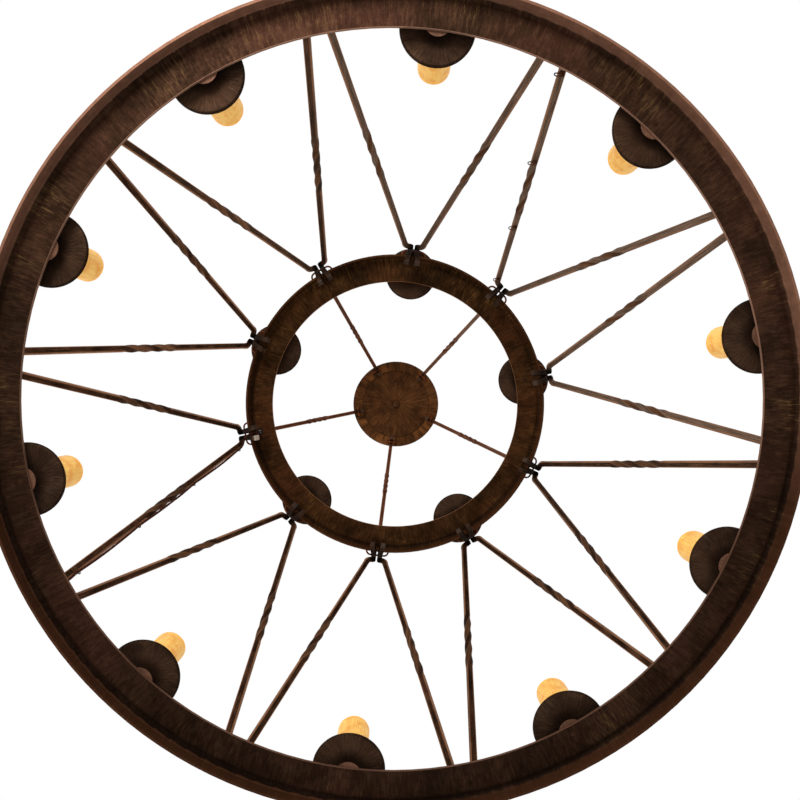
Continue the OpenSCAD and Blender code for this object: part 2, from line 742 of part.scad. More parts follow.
outer_ring();
inner_ring();
top_plate();
eye_bolt();
eye_bolt_nuts();
top_plate_staples();
hub_rod_feet_staples();
inner_ring_staples();
outer_ring_staples();
lower_rod_no(1);  // lower_rod_01
lower_rod_no(2);  // lower_rod_02
lower_rod_no(3);  // lower_rod_03
lower_rod_no(4);  // lower_rod_04
lower_rod_no(5);  // lower_rod_05
lower_rod_no(6);  // lower_rod_06
lower_rod_no(7);  // lower_rod_07
lower_rod_no(8);  // lower_rod_08
lower_rod_no(9);  // lower_rod_09
lower_rod_no(10);  // lower_rod_10
lower_rod_no(11);  // lower_rod_11
lower_rod_no(12);  // lower_rod_12
lower_rod_no(13);  // lower_rod_13
lower_rod_no(14);  // lower_rod_14
lower_rod_no(15);  // lower_rod_15
lower_rod_no(16);  // lower_rod_16
lower_rod_no(17);  // lower_rod_17
lower_rod_no(18);  // lower_rod_18
lower_rod_no(19);  // lower_rod_19
lower_rod_no(20);  // lower_rod_20
hub_rod_no(1);  // hub_rod_1
hub_rod_no(2);  // hub_rod_2
hub_rod_no(3);  // hub_rod_3
hub_rod_no(4);  // hub_rod_4
hub_rod_no(5);  // hub_rod_5
guide_rings();
feed_cord();
cord_bushings();
outer_spacers();
inner_spacers();
outer_bobeches();
inner_bobeches();
lamp_nipples();
lamp_sockets();
bulbs();
outer_candle(1);  // outer_candle_01
outer_candle(2);  // outer_candle_02
outer_candle(3);  // outer_candle_03
outer_candle(4);  // outer_candle_04
outer_candle(5);  // outer_candle_05
outer_candle(6);  // outer_candle_06
outer_candle(7);  // outer_candle_07
outer_candle(8);  // outer_candle_08
outer_candle(9);  // outer_candle_09
outer_candle(10);  // outer_candle_10
inner_candle(1);  // inner_candle_1
inner_candle(2);  // inner_candle_2
inner_candle(3);  // inner_candle_3
inner_candle(4);  // inner_candle_4
inner_candle(5);  // inner_candle_5
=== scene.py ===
# %% [markdown]
# # A wagon wheel chandelier, seen from straight below
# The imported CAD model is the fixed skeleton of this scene. It gives every ring, rod, staple and
# lamp its place, in metres, with the origin in the hanging eye. Blender adds what a photograph
# shows and a solid model leaves out: rounded and twisted bars, spun pans, glowing sleeves, a
# smooth feed cord, weld beads, and a brushed, rusty finish on all the iron.

# %% Load the frame
import math

import bpy
import numpy as np
from mathutils import Matrix, Vector


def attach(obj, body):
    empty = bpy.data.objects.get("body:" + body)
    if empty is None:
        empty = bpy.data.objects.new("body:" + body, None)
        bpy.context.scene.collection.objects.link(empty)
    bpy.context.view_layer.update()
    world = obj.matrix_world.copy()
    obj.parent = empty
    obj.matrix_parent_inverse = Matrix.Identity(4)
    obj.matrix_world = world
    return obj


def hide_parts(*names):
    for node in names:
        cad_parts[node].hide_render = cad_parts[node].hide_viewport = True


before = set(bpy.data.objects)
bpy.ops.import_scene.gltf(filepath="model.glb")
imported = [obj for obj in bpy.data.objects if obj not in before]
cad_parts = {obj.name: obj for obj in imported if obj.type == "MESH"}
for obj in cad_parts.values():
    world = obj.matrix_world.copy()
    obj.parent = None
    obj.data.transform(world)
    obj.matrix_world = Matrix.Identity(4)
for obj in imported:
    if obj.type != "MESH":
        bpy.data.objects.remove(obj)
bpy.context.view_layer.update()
scene = bpy.context.scene
scene.view_settings.view_transform = "Standard"

# %% [markdown]
# ## Camera
# The photograph is square and was taken from under the middle of the fixture, looking up. Three
# round outlines that share one axis fix such a camera: their radii give the distance, and the
# small shifts between their middles give the tilt. Writing the camera's own right, up and forward
# directions as the columns of a matrix is clearer here than three angles, because a camera that
# looks straight up has no natural "up" of its own.

# %% Camera from three directions
focal_px, middle_px, image_px, roll = 617.5, (400.3, 424.6), 800.0, math.radians(0.40)
camera_at = (-0.01485, 0.01981, -2.135)
forward = np.array([-0.0039, -0.0417, 0.9991])
right = np.array([-0.99357, 0.11320, 0.0])
forward = forward / np.linalg.norm(forward)
right = right - forward * (right @ forward)
right = right / np.linalg.norm(right)
upward = np.cross(right, forward)
right, upward = (right * math.cos(roll) + upward * math.sin(roll),
                 upward * math.cos(roll) - right * math.sin(roll))

sensor_mm = 36.0
camera_data = bpy.data.cameras.new("camera")
camera_data.sensor_width = sensor_mm
camera_data.lens = sensor_mm * focal_px / image_px
camera_data.shift_x = (image_px / 2 - middle_px[0]) / image_px
camera_data.shift_y = (middle_px[1] - image_px / 2) / image_px
camera_data.clip_start, camera_data.clip_end = 0.05, 60.0
camera = bpy.data.objects.new("camera", camera_data)
scene.collection.objects.link(camera)
turn = np.eye(4)
turn[:3, 0], turn[:3, 1], turn[:3, 2], turn[:3, 3] = right, upward, -forward, camera_at
camera.matrix_world = Matrix(turn.tolist())
scene.camera = camera
print("camera: lens", round(camera_data.lens, 2), "mm at", camera_at)

# %% [markdown]
# ## Sizes
# The shapes below repeat the sizes of the CAD source, in millimetres, because that file isn't
# open here. Only the last step of making a mesh turns them to metres, so that every number in a
# formula is one that a metalworker could read off a drawing.

# %% Sizes in millimetres
hub_z, inner_z, outer_z = -95.0, -385.0, -985.0
plate_t, inner_r, outer_r = 5.0, 416.0, 762.0
ring_w, leg_t, leg_h = 69.0, 5.0, 28.0
inner_top, outer_top = inner_z + plate_t, outer_z + plate_t
lower_bar, hub_bar, staple_bar = 14.0, 11.2, 5.0
hook_gap = 0.3
lower_hook_r = staple_bar / 2 + hook_gap + lower_bar / 2
hub_hook_r = staple_bar / 2 + hook_gap + hub_bar / 2
edge_bar_r = inner_r + 0.5 + lower_bar / 2 + lower_hook_r
edge_bar_z = inner_z + plate_t / 2
neck_r = edge_bar_r + lower_hook_r
foot_bow_r, foot_bow_in = 52.0, 22.0
foot_bow_c = outer_r - foot_bow_in + foot_bow_r
foot_bar_z = outer_top + hook_gap + lower_bar / 2 + lower_hook_r
small_rise = hook_gap + hub_bar / 2 + hub_hook_r
top_bar_r, top_bar_z = 125.0, hub_z - small_rise
hub_foot_r, hub_foot_z = inner_r - 51.0, inner_top + small_rise
outer_lamp_r, inner_lamp_r = outer_r - 53.0, inner_r - 41.0
node_turns, hub_turns = [90 + 36 * k for k in range(10)], [126 + 72 * k for k in range(5)]
half_step = 18
OUT, SIDEWAYS, UP = np.eye(3)
print("levels: plate", hub_z, "inner ring", inner_z, "outer ring", outer_z)

# %% [markdown]
# ## From a grid of points to a mesh
# Every new piece here is a surface of two parameters: round a section, and along a path or a
# profile. So one function makes them all. It takes a whole array of points, joins neighbours into
# four-cornered faces, closes the ends, and turns the faces round if the signed volume comes out
# negative. Letting numpy do this at once is short, and far faster than adding vertices one by one.


# %% Grid surfaces
def shaped_mesh(name, points, uv, closed, attributes):
    """Mesh from points (copies, rows, columns, 3) in millimetres. Columns run round and close on
    themselves. Rows close too if closed, and otherwise each end gets a flat cap. uv has one more
    column, and one more row if closed. The signed volume is the sum of a . (b x c) / 6."""
    copies, rows, columns = points.shape[:3]
    row = np.arange(rows if closed else rows - 1)[:, None]
    column = np.arange(columns)[None]
    corners = [(row, column), (row, column + 1), (row + 1, column + 1), (row + 1, column)]
    quads = np.stack([(r % rows) * columns + c % columns for r, c in corners], -1).reshape(-1, 4)
    quads = (np.arange(copies)[:, None, None] * rows * columns + quads).reshape(-1, 4)
    faces_uv = np.stack([uv[:, r, c] for r, c in corners], -2).reshape(-1, 4, 2)
    flat = points.reshape(-1, 3) * 0.001
    a, b, c, d = (flat[quads[:, k]] - flat.mean(0) for k in range(4))
    inside_out = (a * (np.cross(b, c) + np.cross(c, d))).sum() < 0
    ends, ends_uv = [], []
    if not closed:
        ring = np.arange(columns)
        for k in range(copies):
            first = k * rows * columns
            ends += [(first + ring[::-1]).tolist(), (first + (rows - 1) * columns + ring).tolist()]
            ends_uv += [uv[k, 0, :columns][::-1], uv[k, -1, :columns]]
    if inside_out:
        quads, faces_uv = quads[:, ::-1], faces_uv[:, ::-1]
        ends, ends_uv = [e[::-1] for e in ends], [e[::-1] for e in ends_uv]
    mesh = bpy.data.meshes.new(name)
    mesh.from_pydata(flat.tolist(), [], quads.tolist() + ends)
    every_uv = np.concatenate([faces_uv.reshape(-1, 2), *ends_uv])
    mesh.uv_layers.new(name="surface").data.foreach_set("uv", every_uv.astype(np.float32).ravel())
    for label, values in attributes.items():
        stored = mesh.attributes.new(label, "FLOAT", "POINT")
        values = np.broadcast_to(values, points.shape[:3])
        stored.data.foreach_set("value", values.astype(np.float32).ravel())
    mesh.shade_smooth()
    mesh.set_sharp_from_angle(angle=math.radians(38))
    return mesh


def piece(name, points, uv, material, body="frame", closed=False, replaces=(), slot=None, **attributes):
    """Object with its place in its mesh, riding on a CAD body and standing for CAD nodes."""
    obj = bpy.data.objects.new(name, shaped_mesh(name, points, uv, closed, attributes))
    scene.collection.objects.link(obj)
    obj.data.materials.append(material)
    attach(obj, body)
    if replaces:
        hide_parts(*replaces)
    return obj


# %% Small vector helpers
def unit(v):
    """v divided by its length, along the last axis."""
    v = np.asarray(v, float)
    return v / np.linalg.norm(v, axis=-1, keepdims=True)


def polar(r, degrees, z):
    """Point at radius r, azimuth and height: (r cos a, r sin a, z)."""
    a = np.radians(degrees)
    return np.array([r * np.cos(a), r * np.sin(a), z])


def turned(points, degrees):
    """Points turned about the Z axis."""
    c, s = math.cos(math.radians(degrees)), math.sin(math.radians(degrees))
    return points @ np.array([[c, s, 0], [-s, c, 0], [0, 0, 1.0]])


def arc(middle, level, r, start, end, steps):
    """Arc in the upright plane of a level direction: middle + r (cos a level + sin a up)."""
    a = np.radians(np.linspace(start, end, steps + 1))[:, None]
    return middle + r * (np.cos(a) * level + np.sin(a) * UP)


def straight(a, b, steps):
    """Even points from a to b, both included."""
    return a + (b - a) * np.linspace(0, 1, steps + 1)[:, None]


def eased(before, corner, after, size, steps=5):
    """Soft bend in place of a corner: (1-t)^2 p + 2t(1-t) corner + t^2 q, with p and q a size away."""
    p, q = corner + size * unit(before - corner), corner + size * unit(after - corner)
    t = np.linspace(0, 1, steps + 1)[:, None]
    return (1 - t) ** 2 * p + 2 * t * (1 - t) * corner + t**2 * q


def smooth_step(x, low, high):
    """3t^2 - 2t^3 with t = (x - low) / (high - low), held between 0 and 1."""
    t = np.clip((np.asarray(x, float) - low) / (high - low), 0, 1)
    return t * t * (3 - 2 * t)


def run_along(points):
    """Distance covered at each point: the running sum of the steps' lengths."""
    return np.append(0, np.cumsum(np.linalg.norm(np.diff(points, axis=0), axis=1)))


def all_round(count):
    """Even angles round a circle, with the last one a step short of the first."""
    return np.linspace(0, 2 * np.pi, count, endpoint=False)


# %% [markdown]
# ## A profile carried along a path
# A hooked rod is one square bar that bends, twists and bends again. It could be a curve object with
# a bevel, but a curve can't hold a square section still on both hooks and turn it once in between.
# So the section is carried by hand: at each point of the path it lies in the plane that halves the
# corner, as a carpenter's mitre does, and an extra turn about the path is added where the smith
# twisted the bar.


# %% Carrying a section along a path
def slide(offset, along, plane):
    """Moves an offset along a direction until it lies in the plane with that normal."""
    share = (offset * plane).sum(-1, keepdims=True) / (along * plane).sum(-1, keepdims=True)
    return offset - along * share


def directions(path):
    """Unit stretches between points, and the halving normal at each point."""
    along = unit(np.diff(path, axis=0))
    halves = unit(np.concatenate([along[:1], along[:-1] + along[1:], along[-1:]]))
    return along, halves


def carried_normals(path, normal):
    """The normal at each stretch, carried over each corner without turning about the path."""
    along, halves = directions(path)
    kept = [np.asarray(normal, float)]
    for before, after, half in zip(along[:-1], along[1:], halves[1:-1]):
        kept.append(slide(slide(kept[-1], before, half), after, after))
    return unit(np.array(kept))


def swept_rings(path, outline, normal, turns):
    """Rings (stations, outline points, 3): path + x a + y b, where a and b are the carried normal
    and its partner, turned by the station's angle and slid into the halving plane."""
    along, halves = directions(path)
    kept = carried_normals(path, normal)
    at = np.minimum(np.arange(len(path)), len(along) - 1)
    along, first = along[at], kept[at]
    second = np.cross(along, first)
    c, s = np.cos(np.radians(turns))[:, None], np.sin(np.radians(turns))[:, None]
    x, y = outline[None, :, 0], outline[None, :, 1]
    offset = (x * c - y * s)[..., None] * first[:, None] + (x * s + y * c)[..., None] * second[:, None]
    return path[:, None] + slide(offset, along[:, None], halves[:, None])


def swept_uv(path, outline):
    """u is the distance round the section and v the distance along the path, both in metres."""
    round_it, along_it = run_along(np.vstack([outline, outline[:1]])), run_along(path)
    return np.stack(np.broadcast_arrays(round_it[None], along_it[:, None]), -1)[None] * 0.001


corner_share, flat_step = 0.16, 0.7


def rounded_square(side):
    """Outline of a bar and a mask of its corners: quarter arcs about the corners of a smaller square,
    with one more point a step along each flat, so that the flats shade flat."""
    radius = side * corner_share
    a = np.radians(np.array([0, 45, 90])[None] + 90 * np.arange(4)[:, None])
    middle = (side / 2 - radius) * np.array([[1, 1], [-1, 1], [-1, -1], [1, -1]])[:, None]
    arcs = middle + radius * np.stack([np.cos(a), np.sin(a)], -1)
    flat = flat_step * np.stack([-np.sin(a), np.cos(a)], -1)
    outline = np.concatenate([arcs[:, :1] - flat[:, :1], arcs, arcs[:, -1:] + flat[:, -1:]], 1)
    return outline.reshape(-1, 2), np.tile([0.0, 0.55, 1.0, 0.55, 0.0], 4)


print("bar outline:", len(rounded_square(lower_bar)[0]), "points")

# %% [markdown]
# ## Shader tools
# A material is a small network of nodes. Short helpers keep the networks readable: `put` adds a node
# and connects it in the same line, and `open_group` starts a group with named sockets. A group is
# worth making when several finishes share an effect: here the brushing round a middle, the
# brushing along a bar, and the patina itself.


# %% Node helpers
def put(tree, kind, inputs=None, **settings):
    """Adds a node, sets its options, and gives each input a value or another node's socket."""
    made = tree.nodes.new("ShaderNode" + kind)
    for key, value in settings.items():
        setattr(made, key, value)
    for key, value in (inputs or {}).items():
        if isinstance(value, bpy.types.NodeSocket):
            tree.links.new(value, made.inputs[key])
        else:
            made.inputs[key].default_value = value
    return made


def shade(r, g, b):
    """Colour as a picture stores it, 0 to 255, turned to the linear light a shader works in."""
    c = np.array([r, g, b]) / 255
    return (*np.where(c <= 0.04045, c / 12.92, ((c + 0.055) / 1.055) ** 2.4).tolist(), 1.0)


def sums(tree, operation, a, b=0.0, clamp=False):
    """One sum on two numbers."""
    return put(tree, "Math", {0: a, 1: b}, operation=operation, use_clamp=clamp).outputs[0]


def times(tree, a, b, clamp=False):
    """Product of two numbers."""
    return sums(tree, "MULTIPLY", a, b, clamp)


def ramp(tree, value, low, high, start=0.0, end=1.0):
    """Soft change from start to end while value goes from low to high."""
    return put(tree, "MapRange", {"Value": value, "From Min": low, "From Max": high, "To Min": start,
                                  "To Max": end}, interpolation_type="SMOOTHSTEP").outputs[0]


def mixed(tree, share, a, b, way="MIX"):
    """Colour between a and b. A Mix node's colours are its inputs 6 and 7 and its output 2."""
    return put(tree, "Mix", {0: share, 6: a, 7: b}, data_type="RGBA", blend_type=way).outputs[2]


def scaled(tree, color, by):
    """Colour times a number that changes over the surface."""
    grey = put(tree, "CombineColor", {0: by, 1: by, 2: by}).outputs[0]
    return mixed(tree, 1.0, color, grey, "MULTIPLY")


def clouds(tree, vector, scale, detail=3.0, roughness=0.55):
    """Noise pattern, 0 to 1."""
    return put(tree, "TexNoise", {"Vector": vector, "Scale": scale, "Detail": detail,
                                  "Roughness": roughness}).outputs[0]


def mask(tree, label):
    """Number that the mesh stores at each point."""
    return put(tree, "Attribute", attribute_name=label).outputs["Fac"]


def open_group(name, inputs, outputs):
    """Node group with named sockets; gives the tree, what goes in and what comes out."""
    tree = bpy.data.node_groups.new(name, "ShaderNodeTree")
    for label, kind in inputs:
        tree.interface.new_socket(label, in_out="INPUT", socket_type="NodeSocket" + kind)
    for label, kind in outputs:
        tree.interface.new_socket(label, in_out="OUTPUT", socket_type="NodeSocket" + kind)
    return tree, tree.nodes.new("NodeGroupInput").outputs, tree.nodes.new("NodeGroupOutput").inputs


def place(tree, group, **inputs):
    """Puts a group into a tree with its own values."""
    return put(tree, "Group", inputs, node_tree=group).outputs


def new_material(name, **uniform):
    """Material with a Principled shader; uniform numbers go straight to the shader's sockets."""
    made = bpy.data.materials.new(name)
    made.use_nodes = True
    shader = made.node_tree.nodes["Principled BSDF"]
    for key, value in uniform.items():
        shader.inputs[key.replace("_", " ")].default_value = value
    return made, made.node_tree, shader


def raised(tree, shader, height, strength, distance):
    """Connects a height to a shader as a bump of this distance, in metres."""
    bump = put(tree, "Bump", {"Height": height, "Strength": strength, "Distance": distance})
    tree.links.new(bump.outputs[0], shader.inputs["Normal"])


# %% [markdown]
# ## Brushing
# The finish was brushed on: fine strokes run from the middle of each ring and pan to its edge, and
# lengthwise on the rods. A noise pattern becomes strokes when its space is stretched. For strokes
# that fan out from a middle, the direction from the middle is one unit vector; scaled up, it makes
# the pattern change fast on the way round, while the radius makes it change slowly. Because the
# direction is a vector and not an angle, there is no seam.

# %% Brushing round a middle, and along a bar
radial_brushing, asked, given = open_group(
    "radial brushing", [("Vector", "Vector"), ("Count", "Float"), ("Reach", "Float"), ("Seed", "Float")],
    [("Strokes", "Float"), ("Radius", "Float")])
tree = radial_brushing
level = put(tree, "VectorMath", {0: asked["Vector"], 1: (1, 1, 0)}, operation="MULTIPLY").outputs[0]
radius = put(tree, "VectorMath", {0: level}, operation="LENGTH").outputs["Value"]
pointing = put(tree, "VectorMath", {0: level}, operation="NORMALIZE").outputs[0]
fan = put(tree, "VectorMath", {0: pointing, "Scale": asked["Count"]}, operation="SCALE").outputs[0]
depth = sums(tree, "ADD", times(tree, radius, asked["Reach"]), asked["Seed"])
spot = put(tree, "VectorMath", {0: fan, 1: put(tree, "CombineXYZ", {"Z": depth}).outputs[0]}).outputs[0]
tree.links.new(ramp(tree, clouds(tree, spot, 1.0, 3.0, 0.6), 0.3, 0.7), given["Strokes"])
tree.links.new(radius, given["Radius"])

bar_brushing, asked, given = open_group(
    "bar brushing", [("Vector", "Vector"), ("Round", "Float"), ("Along", "Float")], [("Strokes", "Float")])
tree = bar_brushing
stretch = put(tree, "CombineXYZ", {"X": asked["Round"], "Y": asked["Along"], "Z": 1.0}).outputs[0]
spot = put(tree, "VectorMath", {0: asked["Vector"], 1: stretch}, operation="MULTIPLY").outputs[0]
tree.links.new(ramp(tree, clouds(tree, spot, 1.0, 3.0, 0.6), 0.3, 0.7), given["Strokes"])
print("groups:", radial_brushing.name, "and", bar_brushing.name)

# %% [markdown]
# ## Patina
# The iron isn't one brown. Over a near-black ground lie brown clouds, duller rust patches, and thin
# golden or olive strokes where the brush caught the top of the grain. The group mixes four colours
# by those masks and also gives a roughness and a height, so that colour, gloss and relief always
# change together, as they do on metal.

# %% Patina group
iron_patina, asked, given = open_group(
    "iron patina",
    [("Vector", "Vector"), ("Strokes", "Float"), ("Size", "Float"), ("Ground", "Color"), ("Brown", "Color"),
     ("Rust", "Color"), ("Gold", "Color"), ("Rust Share", "Float"), ("Gold Share", "Float")],
    [("Color", "Color"), ("Roughness", "Float"), ("Height", "Float")])
tree = iron_patina
wide = clouds(tree, asked["Vector"], asked["Size"], 4.0, 0.6)
moved = put(tree, "VectorMath", {0: asked["Vector"], 1: (3.1, 1.7, 5.3)}).outputs[0]
wider = clouds(tree, moved, times(tree, asked["Size"], 0.5), 4.0, 0.62)
fine = clouds(tree, moved, times(tree, asked["Size"], 22.0), 3.0, 0.6)
browned = ramp(tree, sums(tree, "ADD", wide, times(tree, asked["Strokes"], 0.16)), 0.42, 0.78)
rusted = times(tree, ramp(tree, wider, 0.46, 0.66), asked["Rust Share"], True)
caught = times(tree, ramp(tree, asked["Strokes"], 0.45, 0.95), ramp(tree, wide, 0.35, 0.62))
gilded = times(tree, caught, asked["Gold Share"], True)
color = mixed(tree, browned, asked["Ground"], asked["Brown"])
color = mixed(tree, rusted, color, asked["Rust"])
color = mixed(tree, gilded, color, asked["Gold"])
depths = ramp(tree, sums(tree, "ADD", asked["Strokes"], fine), 0.45, 1.5, 0.74, 1.18)
dryness = sums(tree, "SUBTRACT", fine, times(tree, rusted, 0.3))
relief = sums(tree, "ADD", times(tree, asked["Strokes"], 0.6), times(tree, fine, 0.7))
tree.links.new(scaled(tree, color, depths), given["Color"])
tree.links.new(ramp(tree, dryness, 0.2, 0.8, 0.62, 0.42), given["Roughness"])
tree.links.new(relief, given["Height"])


def new_iron(name, metallic=0.45):
    """Material for rusty iron, part metal and part oxide, without a clear gloss."""
    return new_material(name, Metallic=metallic, Specular_IOR_Level=0.0)


def finish_iron(tree, shader, patina, color, relief):
    """Connects a patina to a shader: its colour, its roughness, and its height as a bump."""
    tree.links.new(color, shader.inputs["Base Color"])
    tree.links.new(patina["Roughness"], shader.inputs["Roughness"])
    raised(tree, shader, patina["Height"], 0.55, relief)


print("group:", iron_patina.name, "with", len(iron_patina.nodes), "nodes")

# %% [markdown]
# ## The two rings
# Each ring is a rolled steel angle: a flat plate with a leg turned down at its outer edge. The
# CAD node has the true shape, so it stays and only gets a finish. Its pattern reads the object
# coordinates, whose origin is on the axis of both rings. The radius then tells the shader where it
# is on the section: plate, painted shade in the corner's crease, or the lighter leg, in painted light
# and shade. Across the ring, one side is painted lit and the far side shaded.


# %% Ring finish
def ring_finish(name, outer, ground, brown, rust, gold, leg, edge, shares):
    """Brushed iron on a ring of this outside radius, in metres. leg and edge each hold a shaded and a lit
    colour, painted light and shade. shares say how much rust and gold there is, how much painted shade
    darkens the far side, and how dark the painted shade in the crease is."""
    made, tree, shader = new_iron(name)
    rust_share, gold_share, far_side_shade, crease_shade_share = shares
    leg_in, plate_in = outer - leg_t * 0.001, outer - ring_w * 0.001
    spot = put(tree, "TexCoord").outputs["Object"]
    # Painted light: the ring's side towards +Y, behind a wavering border, is painted lit and the far side
    # shaded.
    across_ring = put(tree, "SeparateXYZ", {0: spot}).outputs["Y"]
    waver = times(tree, clouds(tree, spot, 3.0), 0.5)
    lit_side_share = ramp(tree, sums(tree, "ADD", across_ring, waver), 0.05, 0.55)
    strokes = place(tree, radial_brushing, Vector=spot, Count=outer / 0.0016, Reach=48.0, Seed=outer)
    radius = strokes["Radius"]
    bold = place(tree, radial_brushing, Vector=spot, Count=outer / 0.0075, Reach=30.0, Seed=4.0)["Strokes"]
    both = sums(tree, "ADD", times(tree, strokes["Strokes"], 0.7), times(tree, bold, 0.3))
    across = ramp(tree, radius, plate_in + 0.007, leg_in - 0.013, gold_share * 0.35, gold_share)
    clumps = ramp(tree, clouds(tree, spot, 7.0, 2.0), 0.50, 0.62, 0.12, 1.0)
    patina = place(tree, iron_patina, **{
        "Vector": spot, "Strokes": both, "Size": 9.0, "Ground": ground, "Brown": brown, "Rust": rust,
        "Gold": gold, "Rust Share": rust_share, "Gold Share": times(tree, times(tree, across, clumps), bold)})
    stained = sums(tree, "ADD", clouds(tree, spot, 24.0, 5.0, 0.7), times(tree, bold, 0.12))
    # Painted shade darkens the far side, and the stains vary the tone at random.
    shade_and_stains = times(tree, ramp(tree, lit_side_share, 0.0, 1.0, 1.0 - far_side_shade, 1.0),
                   ramp(tree, stained, 0.48, 0.63, 0.80, 1.12))
    color = scaled(tree, patina["Color"], shade_and_stains)
    # Painted shade in the crease between plate and leg, with a ragged border, deeper on the shaded side.
    ragged = sums(tree, "ADD", radius, times(tree, bold, 0.004))
    crease_shade = times(tree, ramp(tree, ragged, leg_in - 0.013, leg_in - 0.005),
                   ramp(tree, radius, leg_in - 0.0025, leg_in - 0.0002, 1.0, 0.0))
    crease_shade_depth = ramp(tree, lit_side_share, 0.0, 1.0, crease_shade_share, crease_shade_share * 0.35)
    color = mixed(tree, times(tree, crease_shade, crease_shade_depth), color, shade(18, 11, 8))
    # The leg is painted in light and shade, in patches: its lit colour on the lit side, its shaded one on the
    # far side.
    patchy = times(tree, clouds(tree, spot, 60.0), 0.6)
    leg_light_and_shade = mixed(tree, patchy, mixed(tree, lit_side_share, *leg), color)
    on_leg = times(tree, ramp(tree, radius, leg_in - 0.0018, leg_in), 0.9)
    color = mixed(tree, on_leg, color, leg_light_and_shade)
    # A painted highlight along the plate's inner edge, lighter on the lit side.
    on_edge = times(tree, ramp(tree, radius, plate_in, plate_in + 0.0006, 1.0, 0.0), 0.9)
    color = mixed(tree, on_edge, color, mixed(tree, lit_side_share, *edge))
    finish_iron(tree, shader, patina, color, 0.0004)
    return made


def dress(material, *nodes):
    """Gives CAD nodes a material in place of the one they came with."""
    for name in nodes:
        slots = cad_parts[name].data.materials
        slots.clear()
        slots.append(material)


outer_iron = ring_finish(
    "outer ring iron", outer_r * 0.001, shade(54, 37, 26), shade(72, 48, 35), shade(82, 53, 40),
    shade(122, 98, 58), (shade(88, 53, 34), shade(178, 128, 102)),
    (shade(116, 84, 67), shade(166, 126, 104)), (0.8, 0.8, 0.28, 0.72))
inner_iron = ring_finish(
    "inner ring iron", inner_r * 0.001, shade(46, 30, 16), shade(78, 49, 27), shade(86, 50, 29),
    shade(130, 92, 46), (shade(86, 52, 31), shade(78, 47, 28)),
    (shade(150, 104, 74), shade(150, 104, 74)), (0.6, 0.9, 0.0, 0.7))
dress(outer_iron, "outer_ring")
dress(inner_iron, "inner_ring")
print("rings dressed")

# %% [markdown]
# ## Top plate, staples, fixings and spacers
# The round plate is brushed from its middle, with a paler golden border. Staples are bent round bar
# in a redder iron, and wire loops are a little darker. The turned cones under the pans are the
# lightest iron of the fixture. All of these CAD shapes are right, so they stay.

# %% Plate, staple, fixing and spacer finishes
plate_iron, tree, shader = new_iron("top plate iron")
spot = put(tree, "TexCoord").outputs["Object"]
strokes = place(tree, radial_brushing, Vector=spot, Count=70.0, Reach=28.0, Seed=2.0)
radius = strokes["Radius"]
broad = place(tree, radial_brushing, Vector=spot, Count=9.0, Reach=14.0, Seed=7.0)["Strokes"]
patina = place(tree, iron_patina, **{
    "Vector": spot, "Strokes": strokes["Strokes"], "Size": 16.0, "Ground": shade(60, 37, 21),
    "Brown": shade(92, 58, 33), "Rust": shade(98, 58, 34), "Gold": shade(140, 92, 52), "Rust Share": 0.6,
    "Gold Share": times(tree, broad, 0.5)})
border = times(tree, ramp(tree, radius, 0.108, 0.113), ramp(tree, broad, 0.1, 0.8))
patchy = ramp(tree, clouds(tree, spot, 11.0, 2.0), 0.44, 0.60, 0.18, 0.85)
color = mixed(tree, times(tree, border, patchy), patina["Color"], shade(134, 84, 45))
# A dark scribed line near the edge, and painted shade round the nut.
scribed = times(tree, ramp(tree, radius, 0.1065, 0.1080), ramp(tree, radius, 0.1085, 0.1100, 1.0, 0.0))
by_nut = ramp(tree, radius, 0.0125, 0.0150, 0.7, 0.0)
scribe_and_nut_shade = times(tree, sums(tree, "MAXIMUM", scribed, by_nut), 0.6)
color = mixed(tree, scribe_and_nut_shade, color, shade(24, 14, 8))
finish_iron(tree, shader, patina, color, 0.0005)
dress(plate_iron, "top_plate")


def plain_iron(name, ground, brown, rust, gold, size, shares, metallic=0.45):
    """Patina without brushing, on object coordinates."""
    made, tree, shader = new_iron(name, metallic)
    spot = put(tree, "TexCoord").outputs["Object"]
    patina = place(tree, iron_patina, **{
        "Vector": spot, "Strokes": clouds(tree, spot, size * 6, 3.0), "Size": size, "Ground": ground,
        "Brown": brown, "Rust": rust, "Gold": gold, "Rust Share": shares[0], "Gold Share": shares[1]})
    finish_iron(tree, shader, patina, patina["Color"], 0.0004)
    return made


staple_iron = plain_iron("staple iron", shade(96, 50, 30), shade(128, 70, 42), shade(140, 74, 44),
                         shade(164, 104, 66), 45.0, (0.7, 0.5))
fixing_steel = plain_iron("fixing steel", shade(74, 50, 32), shade(104, 70, 44), shade(112, 72, 44),
                          shade(150, 112, 76), 60.0, (0.4, 0.4), 0.8)
spacer_iron = plain_iron("spacer iron", shade(106, 76, 60), shade(128, 92, 72), shade(136, 96, 74),
                         shade(156, 116, 90), 40.0, (0.7, 0.4))
nipple_iron = plain_iron("nipple iron", shade(50, 34, 24), shade(68, 46, 33), shade(76, 49, 36),
                         shade(96, 72, 48), 40.0, (0.6, 0.2))
loop_iron = plain_iron("loop iron", shade(62, 38, 26), shade(94, 60, 42), shade(104, 64, 44),
                       shade(150, 108, 80), 60.0, (0.6, 0.6))
dress(staple_iron, "top_plate_staples", "hub_rod_feet_staples", "inner_ring_staples", "outer_ring_staples")
dress(loop_iron, "guide_rings")
dress(fixing_steel, "eye_bolt", "eye_bolt_nuts")
dress(nipple_iron, "lamp_nipples")
dress(spacer_iron, "outer_spacers", "inner_spacers")
print("plate, staples, fixings and spacers dressed")
